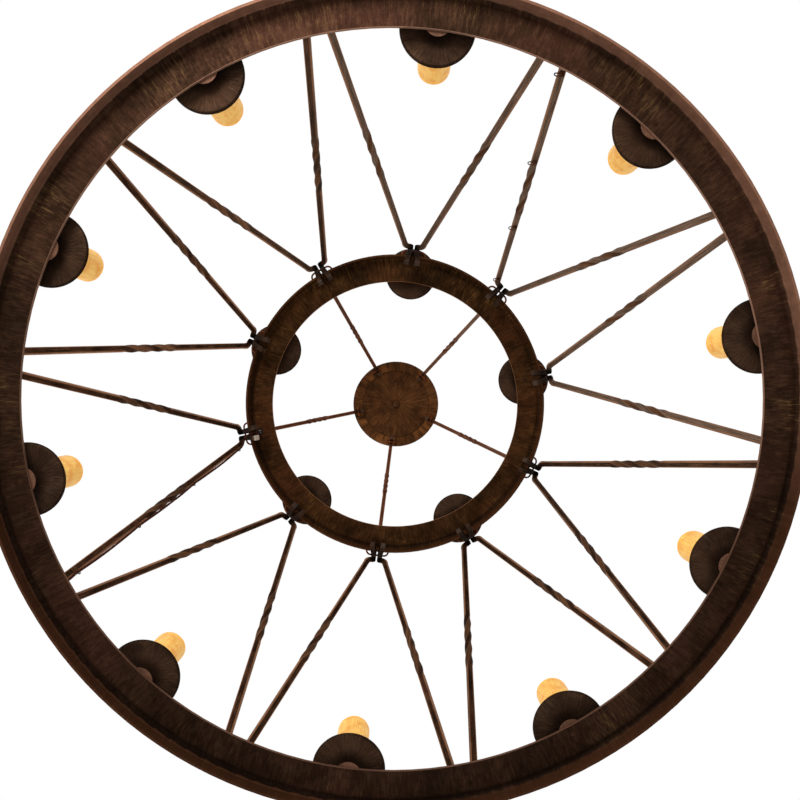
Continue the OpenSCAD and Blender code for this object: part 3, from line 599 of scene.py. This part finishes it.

# %% [markdown]
# ## Rod iron
# The rods' finish follows the bar, so it reads the bar's own UV map: u runs round the section and v
# along it, in metres. Six numbers stored on the mesh help: `corner` lightens the edges, as wear with a
# painted highlight, `plain` calms the twisted stretch, one darkens the hooks with painted shade, `tip`
# lightens the ends as bare metal with a painted glint, one sets how much painted pale light falls on
# each rod's lit side, and `tone` says how bright each rod is, rod by rod.

# %% Rod finish
def bar_finish(name, side, ground, brown, rust, gold, edge, lit_strip):
    """Patina brushed along a bar of this side in millimetres. Two faces carry a painted strip of light,
    the other two a painted pale light towards one side of the fixture, the hooks painted shade, the
    edges a lighter colour of wear with a painted highlight, and the tips that of bare metal with a
    painted glint. A sine of the way round the section, which repeats every half round, tells the
    faces apart."""
    made, tree, shader = new_iron(name)
    spot = put(tree, "UVMap", uv_map="surface").outputs[0]
    strokes = place(tree, bar_brushing, Vector=spot, Round=700.0, Along=22.0)["Strokes"]
    patina = place(tree, iron_patina, **{
        "Vector": spot, "Strokes": strokes, "Size": 26.0, "Ground": ground, "Brown": brown, "Rust": rust,
        "Gold": gold, "Rust Share": 0.8, "Gold Share": 0.35})
    # Patches where the edges look worn and where the strip of painted light shows.
    wear_and_light_patches = ramp(tree, clouds(tree, spot, 9.0, 3.0), 0.3, 0.6, 0.3, 0.9)
    half_round = (2 - 4 * corner_share + math.pi * corner_share) * side * 0.001
    first_corner = (flat_step + math.pi / 4 * corner_share * side) * 0.001
    past_corner = sums(tree, "SUBTRACT", put(tree, "SeparateXYZ", {0: spot}).outputs["X"], first_corner)
    swing = sums(tree, "SINE", times(tree, past_corner, 2 * math.pi / half_round))
    broad = ramp(tree, swing, -0.5, 0.5)
    # Painted light: a bright strip on the other two faces, calmer in the twist.
    narrow = times(tree, times(tree, sums(tree, "SUBTRACT", 1.0, broad), mask(tree, "plain")), wear_and_light_patches)
    color = mixed(tree, times(tree, narrow, 0.85), patina["Color"], mixed(tree, strokes, *lit_strip))
    # Painted light: the broad faces turn pale on the fixture's lit side, as much as each rod's share says.
    where = put(tree, "TexCoord").outputs["Object"]
    lit_side = put(tree, "VectorMath", {0: where, 1: (-0.6, 0.8, 0.0)}, operation="DOT_PRODUCT")
    lit = ramp(tree, lit_side.outputs["Value"], -0.05, 0.40, 0.0, 0.66)
    pale_light = times(tree, times(tree, lit, broad), mask(tree, "lit_paleness"))
    color = mixed(tree, pale_light, color, mixed(tree, strokes, shade(96, 76, 62), shade(158, 132, 112)))
    color = scaled(tree, color, mask(tree, "tone"))
    # Lighter edges: worn iron, with a painted highlight on top.
    color = mixed(tree, times(tree, mask(tree, "corner"), wear_and_light_patches), color, edge)
    # Painted shade on the hooks, near black.
    color = mixed(tree, times(tree, mask(tree, "hook_shade"), 0.96), color, shade(16, 9, 6))
    # The tips are lighter: bare metal, with a painted glint.
    bare_and_glint = mixed(tree, strokes, shade(150, 128, 112), shade(206, 190, 176))
    color = mixed(tree, mask(tree, "tip"), color, bare_and_glint)
    finish_iron(tree, shader, patina, color, 0.0005)
    return made


rod_iron = bar_finish("rod iron", lower_bar, shade(40, 26, 18), shade(64, 42, 29), shade(76, 48, 33),
                      shade(120, 84, 58), shade(156, 110, 78), (shade(142, 96, 64), shade(198, 142, 102)))
hub_iron = bar_finish("hub rod iron", hub_bar, shade(70, 40, 26), shade(98, 56, 37), shade(106, 60, 39),
                      shade(140, 90, 62), shade(160, 104, 74), (shade(112, 66, 44), shade(142, 90, 62)))

# %% [markdown]
# ## The twenty lower rods
# A lower rod hooks under a bowed bar on the outer ring, runs straight up and inwards with one
# twisted stretch, bends at an elbow, and hooks over a staple on the inner ring's edge. Its tip leans
# back in under the ring. There are only two shapes, left and right, so each path is worked out once
# and turned about the axis ten times.


# %% Lower rod paths
elbow_y, elbow_drop, hook_y, neck_drop = 23.4, 22.0, 8.8, 12.0
lower_twist_l, tip_lean, tip_l, tip_bend_r = 146.0, 50, 44.0, leg_t + lower_bar / 2


def lower_path(side):
    """Path of a lower rod in its node's frame, the twist's share and the squaring's share at each
    point, and masks for the painted shade on the hook and for the lighter tip. The rod is aimed at the middle
    of the outer bow."""
    node = np.array([neck_r, side * elbow_y, 0.0])
    aim = unit(polar(foot_bow_c, side * half_step, 0) - node)
    foot = polar(foot_bow_c, side * half_step, foot_bar_z) - foot_bow_r * aim
    reach, rise = (foot[0] - neck_r) / aim[0], edge_bar_z - elbow_drop - foot[2]
    elbow = foot - reach * aim + rise * UP
    lift = 180 - math.degrees(math.atan2(rise, reach) - math.acos(lower_hook_r / math.hypot(reach, rise)))
    leave = arc(foot, aim, lower_hook_r, lift, lift, 0)[0]
    bar = np.array([edge_bar_r, side * hook_y, edge_bar_z])
    neck = np.array([neck_r, side * hook_y, edge_bar_z - neck_drop])
    bend = np.array([edge_bar_r - lower_hook_r - tip_bend_r, side * hook_y, inner_z - leg_h])
    lean = math.radians(tip_lean)
    root = bend + tip_bend_r * (math.cos(lean) * OUT - math.sin(lean) * UP)
    tip = root + np.array([-tip_l * math.sin(lean), side * 6.0, -tip_l * math.cos(lean)])
    along = unit(elbow - leave)
    middle, half_twist = (leave + elbow) / 2, lower_twist_l / 2 * along
    low, high = middle - half_twist, middle + half_twist
    parts = [
        ((foot + lower_hook_r * aim + 12 * UP)[None], 0, 0),
        (arc(foot, aim, lower_hook_r, 360, lift, 20), 0, 0),
        (straight(leave, low, 8)[1:-1], 0, 0),
        (straight(low, high, 72), np.linspace(0, 1, 73), 0),
        (straight(high, elbow - 14 * along, 8)[1:], 1, 0),
        (eased(leave, elbow, neck, 5.5), 1, np.linspace(0.35, 0.65, 6)),
        (eased(elbow, neck, bar + lower_hook_r * OUT, 5.0), 1, np.linspace(0.85, 1, 6)),
        (arc(bar, OUT, lower_hook_r, 0, 180, 20), 1, 1),
        (arc(bend, OUT, tip_bend_r, 0, -tip_lean, 8), 1, 1),
        (straight(root, tip, 5)[1:], 1, 1),
    ]
    path = np.concatenate([p for p, _, _ in parts])
    twist = np.concatenate([np.broadcast_to(t, len(p)) for p, t, _ in parts])
    square = np.concatenate([np.broadcast_to(s, len(p)) for p, _, s in parts])
    run = run_along(path)
    elbow_run, end_run = run[sum(len(p) for p, _, _ in parts[:5])], run[-1]
    # Painted shade along the hook from the elbow on, a little lighter in the last millimetres.
    hook_shade_depth = 0.92 + 0.08 * smooth_step(run, end_run - 8, end_run - 30)
    hook_shade = smooth_step(run, elbow_run, elbow_run + 16) * hook_shade_depth
    return path, twist, square, np.cross(aim, UP), hook_shade, smooth_step(run, end_run - 10, end_run - 2)


def squaring(path, normal, wanted):
    """Turn in degrees, within an eighth, that brings the carried normal to the wanted one."""
    along, _ = directions(path)
    kept = carried_normals(path, normal)
    a = math.degrees(math.atan2(np.cross(kept[-3], wanted) @ along[-3], kept[-3] @ wanted))
    return a - 90 * round(a / 90)


def bar_rings(path, twist, square, normal, side, hook_shade, tip, part):
    """Swept bar with its last millimetre at both ends drawn in, as a filed edge, and its masks."""
    outline, corner = rounded_square(side)
    rings = swept_rings(path, outline, normal, 360 * twist + part * square)
    end_share, end_step = 0.9, 0.9
    ends = [path[k] + (rings[k] - path[k]) * end_share for k in (0, -1)]
    rings[0] += end_step * unit(path[1] - path[0])
    rings[-1] += end_step * unit(path[-2] - path[-1])
    rings = np.concatenate([ends[:1], rings, ends[1:]])
    plain = np.where((twist > 0.01) & (twist < 0.99), 0.3, 1.0)
    masks = {"corner": corner[None] * plain[:, None], "plain": plain[:, None], "hook_shade": hook_shade[:, None],
             "tip": tip[:, None], "lit_paleness": np.ones((1, 1)), "tone": np.ones((1, 1))}
    shape = (len(path), len(outline))
    masks = {k: np.broadcast_to(v, shape) for k, v in masks.items()}
    masks = {k: np.concatenate([v[:1], v, v[-1:]])[None] for k, v in masks.items()}
    uv = swept_uv(path, outline)
    return rings, np.concatenate([uv[:, :1], uv, uv[:, -1:]], 1), masks


# %% Build the lower rods
# One rod's tip is painted fully bright, bare metal with a painted glint; the others keep only a trace.
bright_tip_rod = 15
# How much painted pale light some rods take on their lit side, and how bright some rods are.
rod_lit_paleness = {7: 0.1, 20: 0.25, 8: 0.4, 2: 0.75, 6: 0.8}
rod_tones = {17: 1.45, 18: 1.35, 19: 1.5, 16: 1.2, 10: 0.7, 8: 0.8}
lower_rods = []
for side in (-1, 1):
    path, twist, square, normal, hook_shade, tip = lower_path(side)
    part = squaring(path, normal, SIDEWAYS)
    rings, uv, masks = bar_rings(path, twist, square, normal, lower_bar, hook_shade, tip, part)
    for node, az in enumerate(node_turns):
        number = 2 * node + (1 if side < 0 else 2)
        bareness_and_glint = 1.0 if number == bright_tip_rod else 0.01 + 0.08 * math.sin(2.4 * number) ** 2
        own = dict(masks, tip=masks["tip"] * bareness_and_glint, lit_paleness=masks["lit_paleness"] * rod_lit_paleness.get(number, 1.0),
                   tone=masks["tone"] * rod_tones.get(number, 1.0))
        lower_rods.append(piece(
            f"lower_rod_{number:02d}_bar", turned(rings, az)[None], uv + np.array([0.0, 1.37 * number]),
            rod_iron, replaces=[f"lower_rod_{number:02d}"], slot="rod_iron", **own))
print("lower rods:", len(lower_rods), "of", len(lower_rods[0].data.vertices), "vertices each")

# %% [markdown]
# ## The five hub rods
# These are the same idea in a lighter bar: hooked under a staple on the inner ring, twisted in the
# middle, and hooked over a staple under the top plate.


# %% Hub rods
hub_twist_l, hub_tip_turn, hub_tip_l = 84.0, 155, 18.0


def hub_path():
    """Path of a hub rod in its own upright plane. The straight run touches both hooks' circles."""
    low, high = np.array([hub_foot_r, 0, hub_foot_z]), np.array([top_bar_r, 0, top_bar_z])
    span = high - low
    a = math.degrees(math.atan2(span[2], span[0]) + math.acos(2 * hub_hook_r / np.linalg.norm(span)))
    off = arc(0, OUT, hub_hook_r, a, a, 0)[0]
    start, end = low + off, high - off
    root, lean = arc(high, OUT, hub_hook_r, hub_tip_turn, hub_tip_turn, 0)[0], math.radians(hub_tip_turn)
    tip = root + hub_tip_l * (math.cos(lean) * UP - math.sin(lean) * OUT)
    middle, half_twist = (start + end) / 2, hub_twist_l / 2 * unit(end - start)
    t0, t1 = middle - half_twist, middle + half_twist
    parts = [
        ((low + np.array([hub_hook_r, 0, 12]))[None], 0),
        (arc(low, OUT, hub_hook_r, 360, a, 18), 0),
        (straight(start, t0, 5)[1:-1], 0),
        (straight(t0, t1, 60), np.linspace(0, 1, 61)),
        (straight(t1, end, 5)[1:-1], 1),
        (arc(high, OUT, hub_hook_r, a - 180, hub_tip_turn, 18), 1),
        (straight(root, tip, 3)[1:], 1),
    ]
    path = np.concatenate([p for p, _ in parts])
    twist = np.concatenate([np.broadcast_to(t, len(p)) for p, t in parts])
    run = run_along(path)
    # Painted shade on the upper hook and its tip.
    hook_shade = smooth_step(run, run[-1] - 46, run[-1] - 34)
    return path, twist, hook_shade, smooth_step(run, run[-1] - 8, run[-1] - 2)


path, twist, hook_shade, tip = hub_path()
square = np.zeros(len(path))
rings, uv, masks = bar_rings(path, twist, square, SIDEWAYS, hub_bar, hook_shade * 0.85, tip * 0.04, 0.0)
for k, az in enumerate(hub_turns):
    piece(f"hub_rod_{k + 1}_bar", turned(rings, az)[None], uv, hub_iron,
          replaces=[f"hub_rod_{k + 1}"], slot="rod_iron", **masks)
print("hub rods: 5 of", len(path), "stations")

# %% [markdown]
# ## Pans
# A bobeche is spun from sheet: a flat disc whose edge turns up in a quarter round. A spun piece is a
# profile turned about an axis, so the whole surface is one formula. Its UV map holds the place on
# the disc, measured from its own middle, which lets the radial brushing fan out from each pan
# instead of from the middle of the fixture.


# %% Revolved pieces
def bow(x, z, r, start, end, steps=6):
    """Points of an arc in the profile's plane."""
    a = np.radians(np.linspace(start, end, steps + 1))
    return np.stack([x + r * np.cos(a), z + r * np.sin(a)], -1)


def revolved(profile, middles, around):
    """Points (copies, around, profile, 3): the profile's first number is the distance from the axis
    and its second the height, turned about an upright axis through each middle."""
    a, r, z = all_round(around)[:, None], profile[None, :, 0], profile[None, :, 1]
    local = np.stack(np.broadcast_arrays(r * np.cos(a), r * np.sin(a), z), -1)
    return local[None] + np.asarray(middles)[:, None, None]


def disc_uv(points, middles):
    """UV that holds the level place from each copy's own middle, in metres."""
    level = (points - np.asarray(middles)[:, None, None])[..., :2] * 0.001
    level = np.concatenate([level, level[:, :1]], 1)
    return np.concatenate([level, level[:, :, :1]], 2)


outer_places = [polar(outer_lamp_r, az, outer_top) for az in node_turns]
inner_places = [polar(inner_lamp_r, 90 + 72 * k, inner_top) for k in range(5)]
pan_low, pan_high, rim_r, rim_z = 17.0, 19.0, 66.5, 22.0
pan_profile = np.concatenate([
    [[5.0, pan_low], [6.0, pan_low], [30.0, pan_low], [60.0, pan_low]],
    bow(rim_r, rim_z, 5.0, -90, 0, 8)[:-1], bow(70.5, 21.6, 1.0, 0, 180, 5),
    bow(rim_r, rim_z, 3.0, 0, -90, 6)[1:], [[60.0, pan_high], [30.6, pan_high]],
    bow(30.6, 19.6, 0.6, -90, -180, 3)[1:], bow(29.25, 24.25, 0.75, 0, 180, 5),
    [[28.5, pan_high], [6.0, pan_high], [5.0, pan_high]]])

pan_iron, tree, shader = new_iron("pan iron")
spot = put(tree, "UVMap", uv_map="surface").outputs[0]
where = put(tree, "TexCoord").outputs["Object"]
strokes = place(tree, radial_brushing, Vector=spot, Count=60.0, Reach=40.0, Seed=1.0)
patina = place(tree, iron_patina, **{
    "Vector": where, "Strokes": strokes["Strokes"], "Size": 20.0, "Ground": shade(54, 38, 28),
    "Brown": shade(76, 55, 41), "Rust": shade(80, 55, 40), "Gold": shade(98, 73, 54), "Rust Share": 0.5,
    "Gold Share": 0.2})
# Painted shade round the spacer in the middle of the pan, and a darker line on the rim.
collar_shade = ramp(tree, strokes["Radius"], 0.048, 0.024, 0.0, 0.55)
rim_line = times(tree, ramp(tree, strokes["Radius"], 0.0675, 0.0695), 0.5)
color = mixed(tree, sums(tree, "MAXIMUM", collar_shade, rim_line), patina["Color"], shade(16, 10, 7))
finish_iron(tree, shader, patina, color, 0.0004)
for name, middles in (("outer", outer_places), ("inner", inner_places)):
    points = revolved(pan_profile, middles, 120)
    piece(f"{name}_pans", points, disc_uv(points, middles), pan_iron, closed=True,
          replaces=[f"{name}_bobeches"], slot="pan_iron")
print("pans:", len(outer_places) + len(inner_places), "with", len(pan_profile), "points in the profile")

# %% [markdown]
# ## Candle sleeves
# Each lamp wears a wide sleeve of amber, fibrous material, lit from inside. Glow could come from
# a lamp inside a translucent shell, but fifteen such shells are slow and noisy. Here the sleeve
# carries its own warm emission under a fibrous colour, and its lip is a brighter orange, as in the
# photograph. The lip is a little uneven, as poured wax is.


# %% Sleeve finish
sleeve, tree, shader = new_material("candle sleeve", Roughness=0.5, Specular_IOR_Level=0.3,
                                    Emission_Strength=0.42)
spot = put(tree, "UVMap", uv_map="surface").outputs[0]
fibres = place(tree, bar_brushing, Vector=spot, Round=420.0, Along=16.0)["Strokes"]
cloudy = clouds(tree, spot, 45.0, 3.0)
color = mixed(tree, fibres, shade(226, 168, 78), shade(246, 198, 106))
color = mixed(tree, ramp(tree, cloudy, 0.4, 0.75), color, shade(222, 152, 62))
# The lip is painted a brighter orange glow, where the shell is seen edge-on.
lip = ramp(tree, mask(tree, "height"), 0.94, 0.985)
color = mixed(tree, lip, color, shade(255, 176, 46))
tree.links.new(color, shader.inputs["Base Color"])
tree.links.new(color, shader.inputs["Emission Color"])
raised(tree, shader, sums(tree, "ADD", fibres, cloudy), 0.4, 0.0006)


# %% Build the sleeves
def sleeve_points(middle, seed):
    """Sleeve round one lamp: a wall profile revolved, whose lip sinks by up to 1.5 mm in slow waves."""
    inner, outer, low, high = 30.5, 34.0, 19.3, 159.3
    lip_r, side = (outer - inner) / 2, np.linspace(low + 1, high - 3, 12)
    profile = np.concatenate([
        [[inner, low], [outer - 0.5, low], [outer, low + 0.5]], np.stack([np.full(12, outer), side], -1),
        bow(inner + lip_r, high - lip_r, lip_r, 0, 180, 10), np.stack([np.full(12, inner), side[::-1]], -1)])
    a = all_round(96)
    points = revolved(profile, [middle], len(a))
    waves = 0.5 * np.sin(3 * a + seed) + 0.3 * np.sin(5 * a + 2.3 * seed) + 0.2 * np.sin(8 * a + 4.1 * seed)
    share = smooth_step(profile[:, 1], low + 100, high)
    points[0, :, :, 2] -= share[None] * (0.75 * (1 + waves))[:, None]
    round_it = np.append(a, 2 * np.pi)[:, None] * outer * 0.001
    along_it = np.append(run_along(profile), 300.0)[None] * 0.001
    uv = np.stack(np.broadcast_arrays(round_it, along_it), -1)[None] + np.array([0.31 * seed, 0.57 * seed])
    return points, uv, ((profile[:, 1] - low) / (high - low))[None, None]


sleeves = [(f"outer_candle_{k + 1:02d}", p) for k, p in enumerate(outer_places)]
sleeves += [(f"inner_candle_{k + 1}", p) for k, p in enumerate(inner_places)]
for number, (name, middle) in enumerate(sleeves):
    points, uv, height = sleeve_points(middle, number + 1)
    piece(f"{name}_sleeve", points, uv, sleeve, body=f"{name}_body", closed=True, replaces=[name],
          slot="candle_sleeve", height=height)
print("sleeves:", len(sleeves))

# %% [markdown]
# ## Sockets and bulbs
# They hide inside the sleeves in the photograph, but show from above. The sockets are moulded, a
# little mottled, and the bulbs are frosted and lit.

# %% Socket and bulb finishes
socket_black, tree, shader = new_material("socket black", Specular_IOR_Level=0.4)
spot = put(tree, "TexCoord").outputs["Object"]
mottle = clouds(tree, spot, 120.0, 3.0)
tree.links.new(mixed(tree, mottle, shade(26, 22, 20), shade(46, 40, 36)), shader.inputs["Base Color"])
tree.links.new(ramp(tree, mottle, 0.2, 0.8, 0.35, 0.55), shader.inputs["Roughness"])
dress(socket_black, "lamp_sockets", "cord_bushings")

bulb_glass, tree, shader = new_material("bulb glass", Roughness=0.35, Emission_Strength=1.2)
spot = put(tree, "TexCoord").outputs["Object"]
frost = clouds(tree, spot, 260.0, 2.0)
color = mixed(tree, frost, shade(255, 226, 176), shade(255, 240, 208))
tree.links.new(color, shader.inputs["Base Color"])
tree.links.new(color, shader.inputs["Emission Color"])
raised(tree, shader, frost, 0.2, 0.0003)
dress(bulb_glass, "bulbs")
print("sockets, bushings and bulbs dressed")

# %% [markdown]
# ## Feed cord
# A thin cord carries the current from an inner lamp to an outer one. It lies on the inner ring, goes
# down through a grommet, passes between two hooks and runs through four wire loops on one rod. It is
# held all along, so it can't swing. The route is a list of chosen points; a smooth curve through them
# is a cubic whose slope at each point is half the step between its neighbours.

# %% Cord route and jacket
cord_points = np.array([
    [245, -286, -374], [254, -279, -374], [269, -269, -376], [291, -253, -377], [311, -235, -377],
    [328, -213, -377], [342, -190, -377], [353, -168, -377], [361, -150, -376], [366, -139, -370],
    [368, -131, -366], [370, -125, -364], [372, -122, -367], [372, -121, -372], [372, -121, -390],
    [372, -121, -412], [373.5, -121, -428], [379, -123.5, -440], [387, -127.5, -446], [394, -134.5, -443],
    [399, -143.5, -437], [403, -152.5, -432], [405, -160.5, -430], [407.5, -167.5, -435], [415, -179.5, -460],
    [422.5, -191.5, -485], [430.5, -203.5, -510], [439, -215, -535], [448, -226, -560], [457, -237, -585],
    [466.5, -248, -610], [474, -260, -635], [481.5, -272, -660], [489.5, -283, -685], [498, -294.5, -709.5],
    [507, -306, -734.5], [516, -316.5, -759.5], [525, -327.5, -784.5], [532.5, -339.5, -809.5],
    [540.5, -351.5, -834.5], [549, -363.5, -859.5], [557.5, -374.5, -884.5], [567, -385.5, -909.5],
    [576.5, -396, -934.5], [580.5, -403, -948], [584.5, -409, -960], [586, -416, -970], [582, -427, -976],
    [567, -445, -977], [548, -464, -977], [525, -485, -977], [503, -504, -977], [480, -524, -977],
    [463, -538, -976], [450, -549, -974], [441, -556, -974]], float)


def smooth_route(points, steps):
    """Curve through the points: between p1 and p2, with t from 0 to 1,
    (2 p1 + (p2-p0) t + (2 p0 - 5 p1 + 4 p2 - p3) t^2 + (3 p1 - p0 - 3 p2 + p3) t^3) / 2."""
    ends = np.concatenate([2 * points[:1] - points[1:2], points, 2 * points[-1:] - points[-2:-1]])
    p0, p1, p2, p3 = (ends[k:len(ends) - 3 + k, None] for k in range(4))
    t = np.linspace(0, 1, steps, endpoint=False)[None, :, None]
    curve = (2 * p1 + (p2 - p0) * t + (2 * p0 - 5 * p1 + 4 * p2 - p3) * t**2
             + (3 * p1 - p0 - 3 * p2 + p3) * t**3) / 2
    return np.concatenate([curve.reshape(-1, 3), points[-1:]])


cord_jacket, tree, shader = new_material("cord jacket", Specular_IOR_Level=0.0)
spot = put(tree, "UVMap", uv_map="surface").outputs[0]
plait = put(tree, "TexWave", {"Vector": spot, "Scale": 170.0, "Distortion": 1.2},
            bands_direction="DIAGONAL").outputs["Fac"]
tree.links.new(mixed(tree, plait, shade(44, 22, 16), shade(84, 46, 34)), shader.inputs["Base Color"])
tree.links.new(ramp(tree, plait, 0.0, 1.0, 0.7, 0.5), shader.inputs["Roughness"])
raised(tree, shader, plait, 0.5, 0.0004)
cord_r, route = 2.5, smooth_route(cord_points, 8)
round_outline = cord_r * np.stack([np.cos(all_round(14)), np.sin(all_round(14))], -1)
rings = swept_rings(route, round_outline, UP, np.zeros(len(route)))
piece("feed_cord_jacket", rings[None], swept_uv(route, round_outline), cord_jacket,
      replaces=["feed_cord"], slot="cord")
print("cord:", round(float(run_along(route)[-1])), "mm long")

# %% [markdown]
# ## Weld beads
# Staples and posts are welded on, and a bead of weld runs round each root. A bead is a small ring
# whose thickness rises and falls as the welder's hand moved: a torus with a wavy tube. Sixty of them
# share one formula and one mesh, with 154 faces each.


# %% Weld beads
def bead(at, axis, leg_r, size, seed):
    """Lumpy ring round a leg: radius leg_r, tube size (1 + 0.22 sin 7a + 0.12 sin 11a)."""
    axis = unit(axis)
    side = unit(np.cross(axis, [0.3, 0.5, 0.8]))
    other = np.cross(axis, side)
    a, b = all_round(22)[:, None], all_round(7)[None]
    tube = size * (1 + 0.22 * np.sin(7 * a + seed) + 0.12 * np.sin(11 * a + 3 * seed))
    out, rise = leg_r + tube * np.cos(b), 0.8 * tube * np.sin(b)
    level = (out * np.cos(a))[..., None] * side + (out * np.sin(a))[..., None] * other
    return at + level + rise[..., None] * axis


edge_leg_y, small_leg_y, post_turn = 30.8, 12.6, math.radians(35)
post_r, post_y = foot_bow_c - foot_bow_r * math.cos(post_turn), foot_bow_r * math.sin(post_turn)
staple_weld, post_weld = (2.6, 1.3), (3.6, 1.5)
beads = []
for node, az in enumerate(node_turns):
    for s in (-1, 1):
        root = np.array([math.sqrt(inner_r**2 - edge_leg_y**2), s * edge_leg_y, edge_bar_z])
        beads.append(bead(turned(root, az), turned(OUT, az), *staple_weld, node + s))
        post = np.array([post_r, s * post_y, outer_top])
        beads.append(bead(turned(post, az + half_step), UP, *post_weld, node + 3 * s))
for k, az in enumerate(hub_turns):
    for s in (-1, 1):
        for r, z, way, seed in ((top_bar_r, hub_z, -UP, k + s), (hub_foot_r, inner_top, UP, k + 5 * s)):
            leg = turned(np.array([r, s * small_leg_y, z]), az)
            beads.append(bead(leg, way, *staple_weld, seed))
beads = np.array(beads)
piece("weld_beads", beads, np.zeros((len(beads), 23, 8, 2)), staple_iron, closed=True, slot="staple_iron")
print("weld beads:", len(beads))

# %% [markdown]
# ## Studio
# The object hangs in a plain pale studio. The floor is far enough below for the camera to stand on,
# and the world gives even light. One large soft lamp near the top edge of the picture lights that
# side of the fixture more, as in the photograph, and a weaker one fills in from the lower left. What
# the camera and glossy surfaces see behind the object is white at strength 1, which doesn't add
# light to the object's dull surfaces.

# %% World, floor and lamps
world = bpy.data.worlds.new("studio")
scene.world = world
world.use_nodes = True
tree = world.node_tree
tree.nodes.clear()
path_kind = put(tree, "LightPath").outputs
seen = path_kind["Is Camera Ray"]
for kind in ("Is Glossy Ray", "Is Transmission Ray"):
    seen = sums(tree, "MAXIMUM", seen, path_kind[kind])
plain_light = put(tree, "Background", {"Color": (1, 1, 1, 1), "Strength": 0.55}).outputs[0]
white_back = put(tree, "Background", {"Color": (1, 1, 1, 1), "Strength": 1.0}).outputs[0]
surface = put(tree, "MixShader", {0: seen, 1: plain_light, 2: white_back}).outputs[0]
put(tree, "OutputWorld", {"Surface": surface})

floor_z, floor_half = -3.2, 9
floor_corners = [(x * floor_half, y * floor_half, floor_z) for x, y in ((-1, -1), (1, -1), (1, 1), (-1, 1))]
floor_mesh = bpy.data.meshes.new("studio_floor")
floor_mesh.from_pydata(floor_corners, [], [(0, 1, 2, 3)])
studio_floor = bpy.data.objects.new("studio_floor", floor_mesh)
scene.collection.objects.link(studio_floor)
floor_white, tree, shader = new_material("floor white", Base_Color=(0.78, 0.78, 0.78, 1), Roughness=0.9)
studio_floor.data.materials.append(floor_white)


def soft_lamp(name, at, towards, size, watts):
    """Large square lamp that points from one place to another."""
    data = bpy.data.lights.new(name, "AREA")
    data.shape, data.size, data.energy = "SQUARE", size, watts
    lamp = bpy.data.objects.new(name, data)
    lamp.location = at
    lamp.rotation_mode = "QUATERNION"
    lamp.rotation_quaternion = (Vector(towards) - Vector(at)).to_track_quat("-Z", "Y")
    lamp.visible_camera = False
    scene.collection.objects.link(lamp)


soft_lamp("key_lamp", (0.95, 1.85, -2.4), (0, 0.1, -0.8), 1.0, 40)
soft_lamp("side_lamp", (2.2, -1.2, -1.5), (0, 0, -0.8), 1.0, 18)
print("studio: floor at", floor_z, "m")
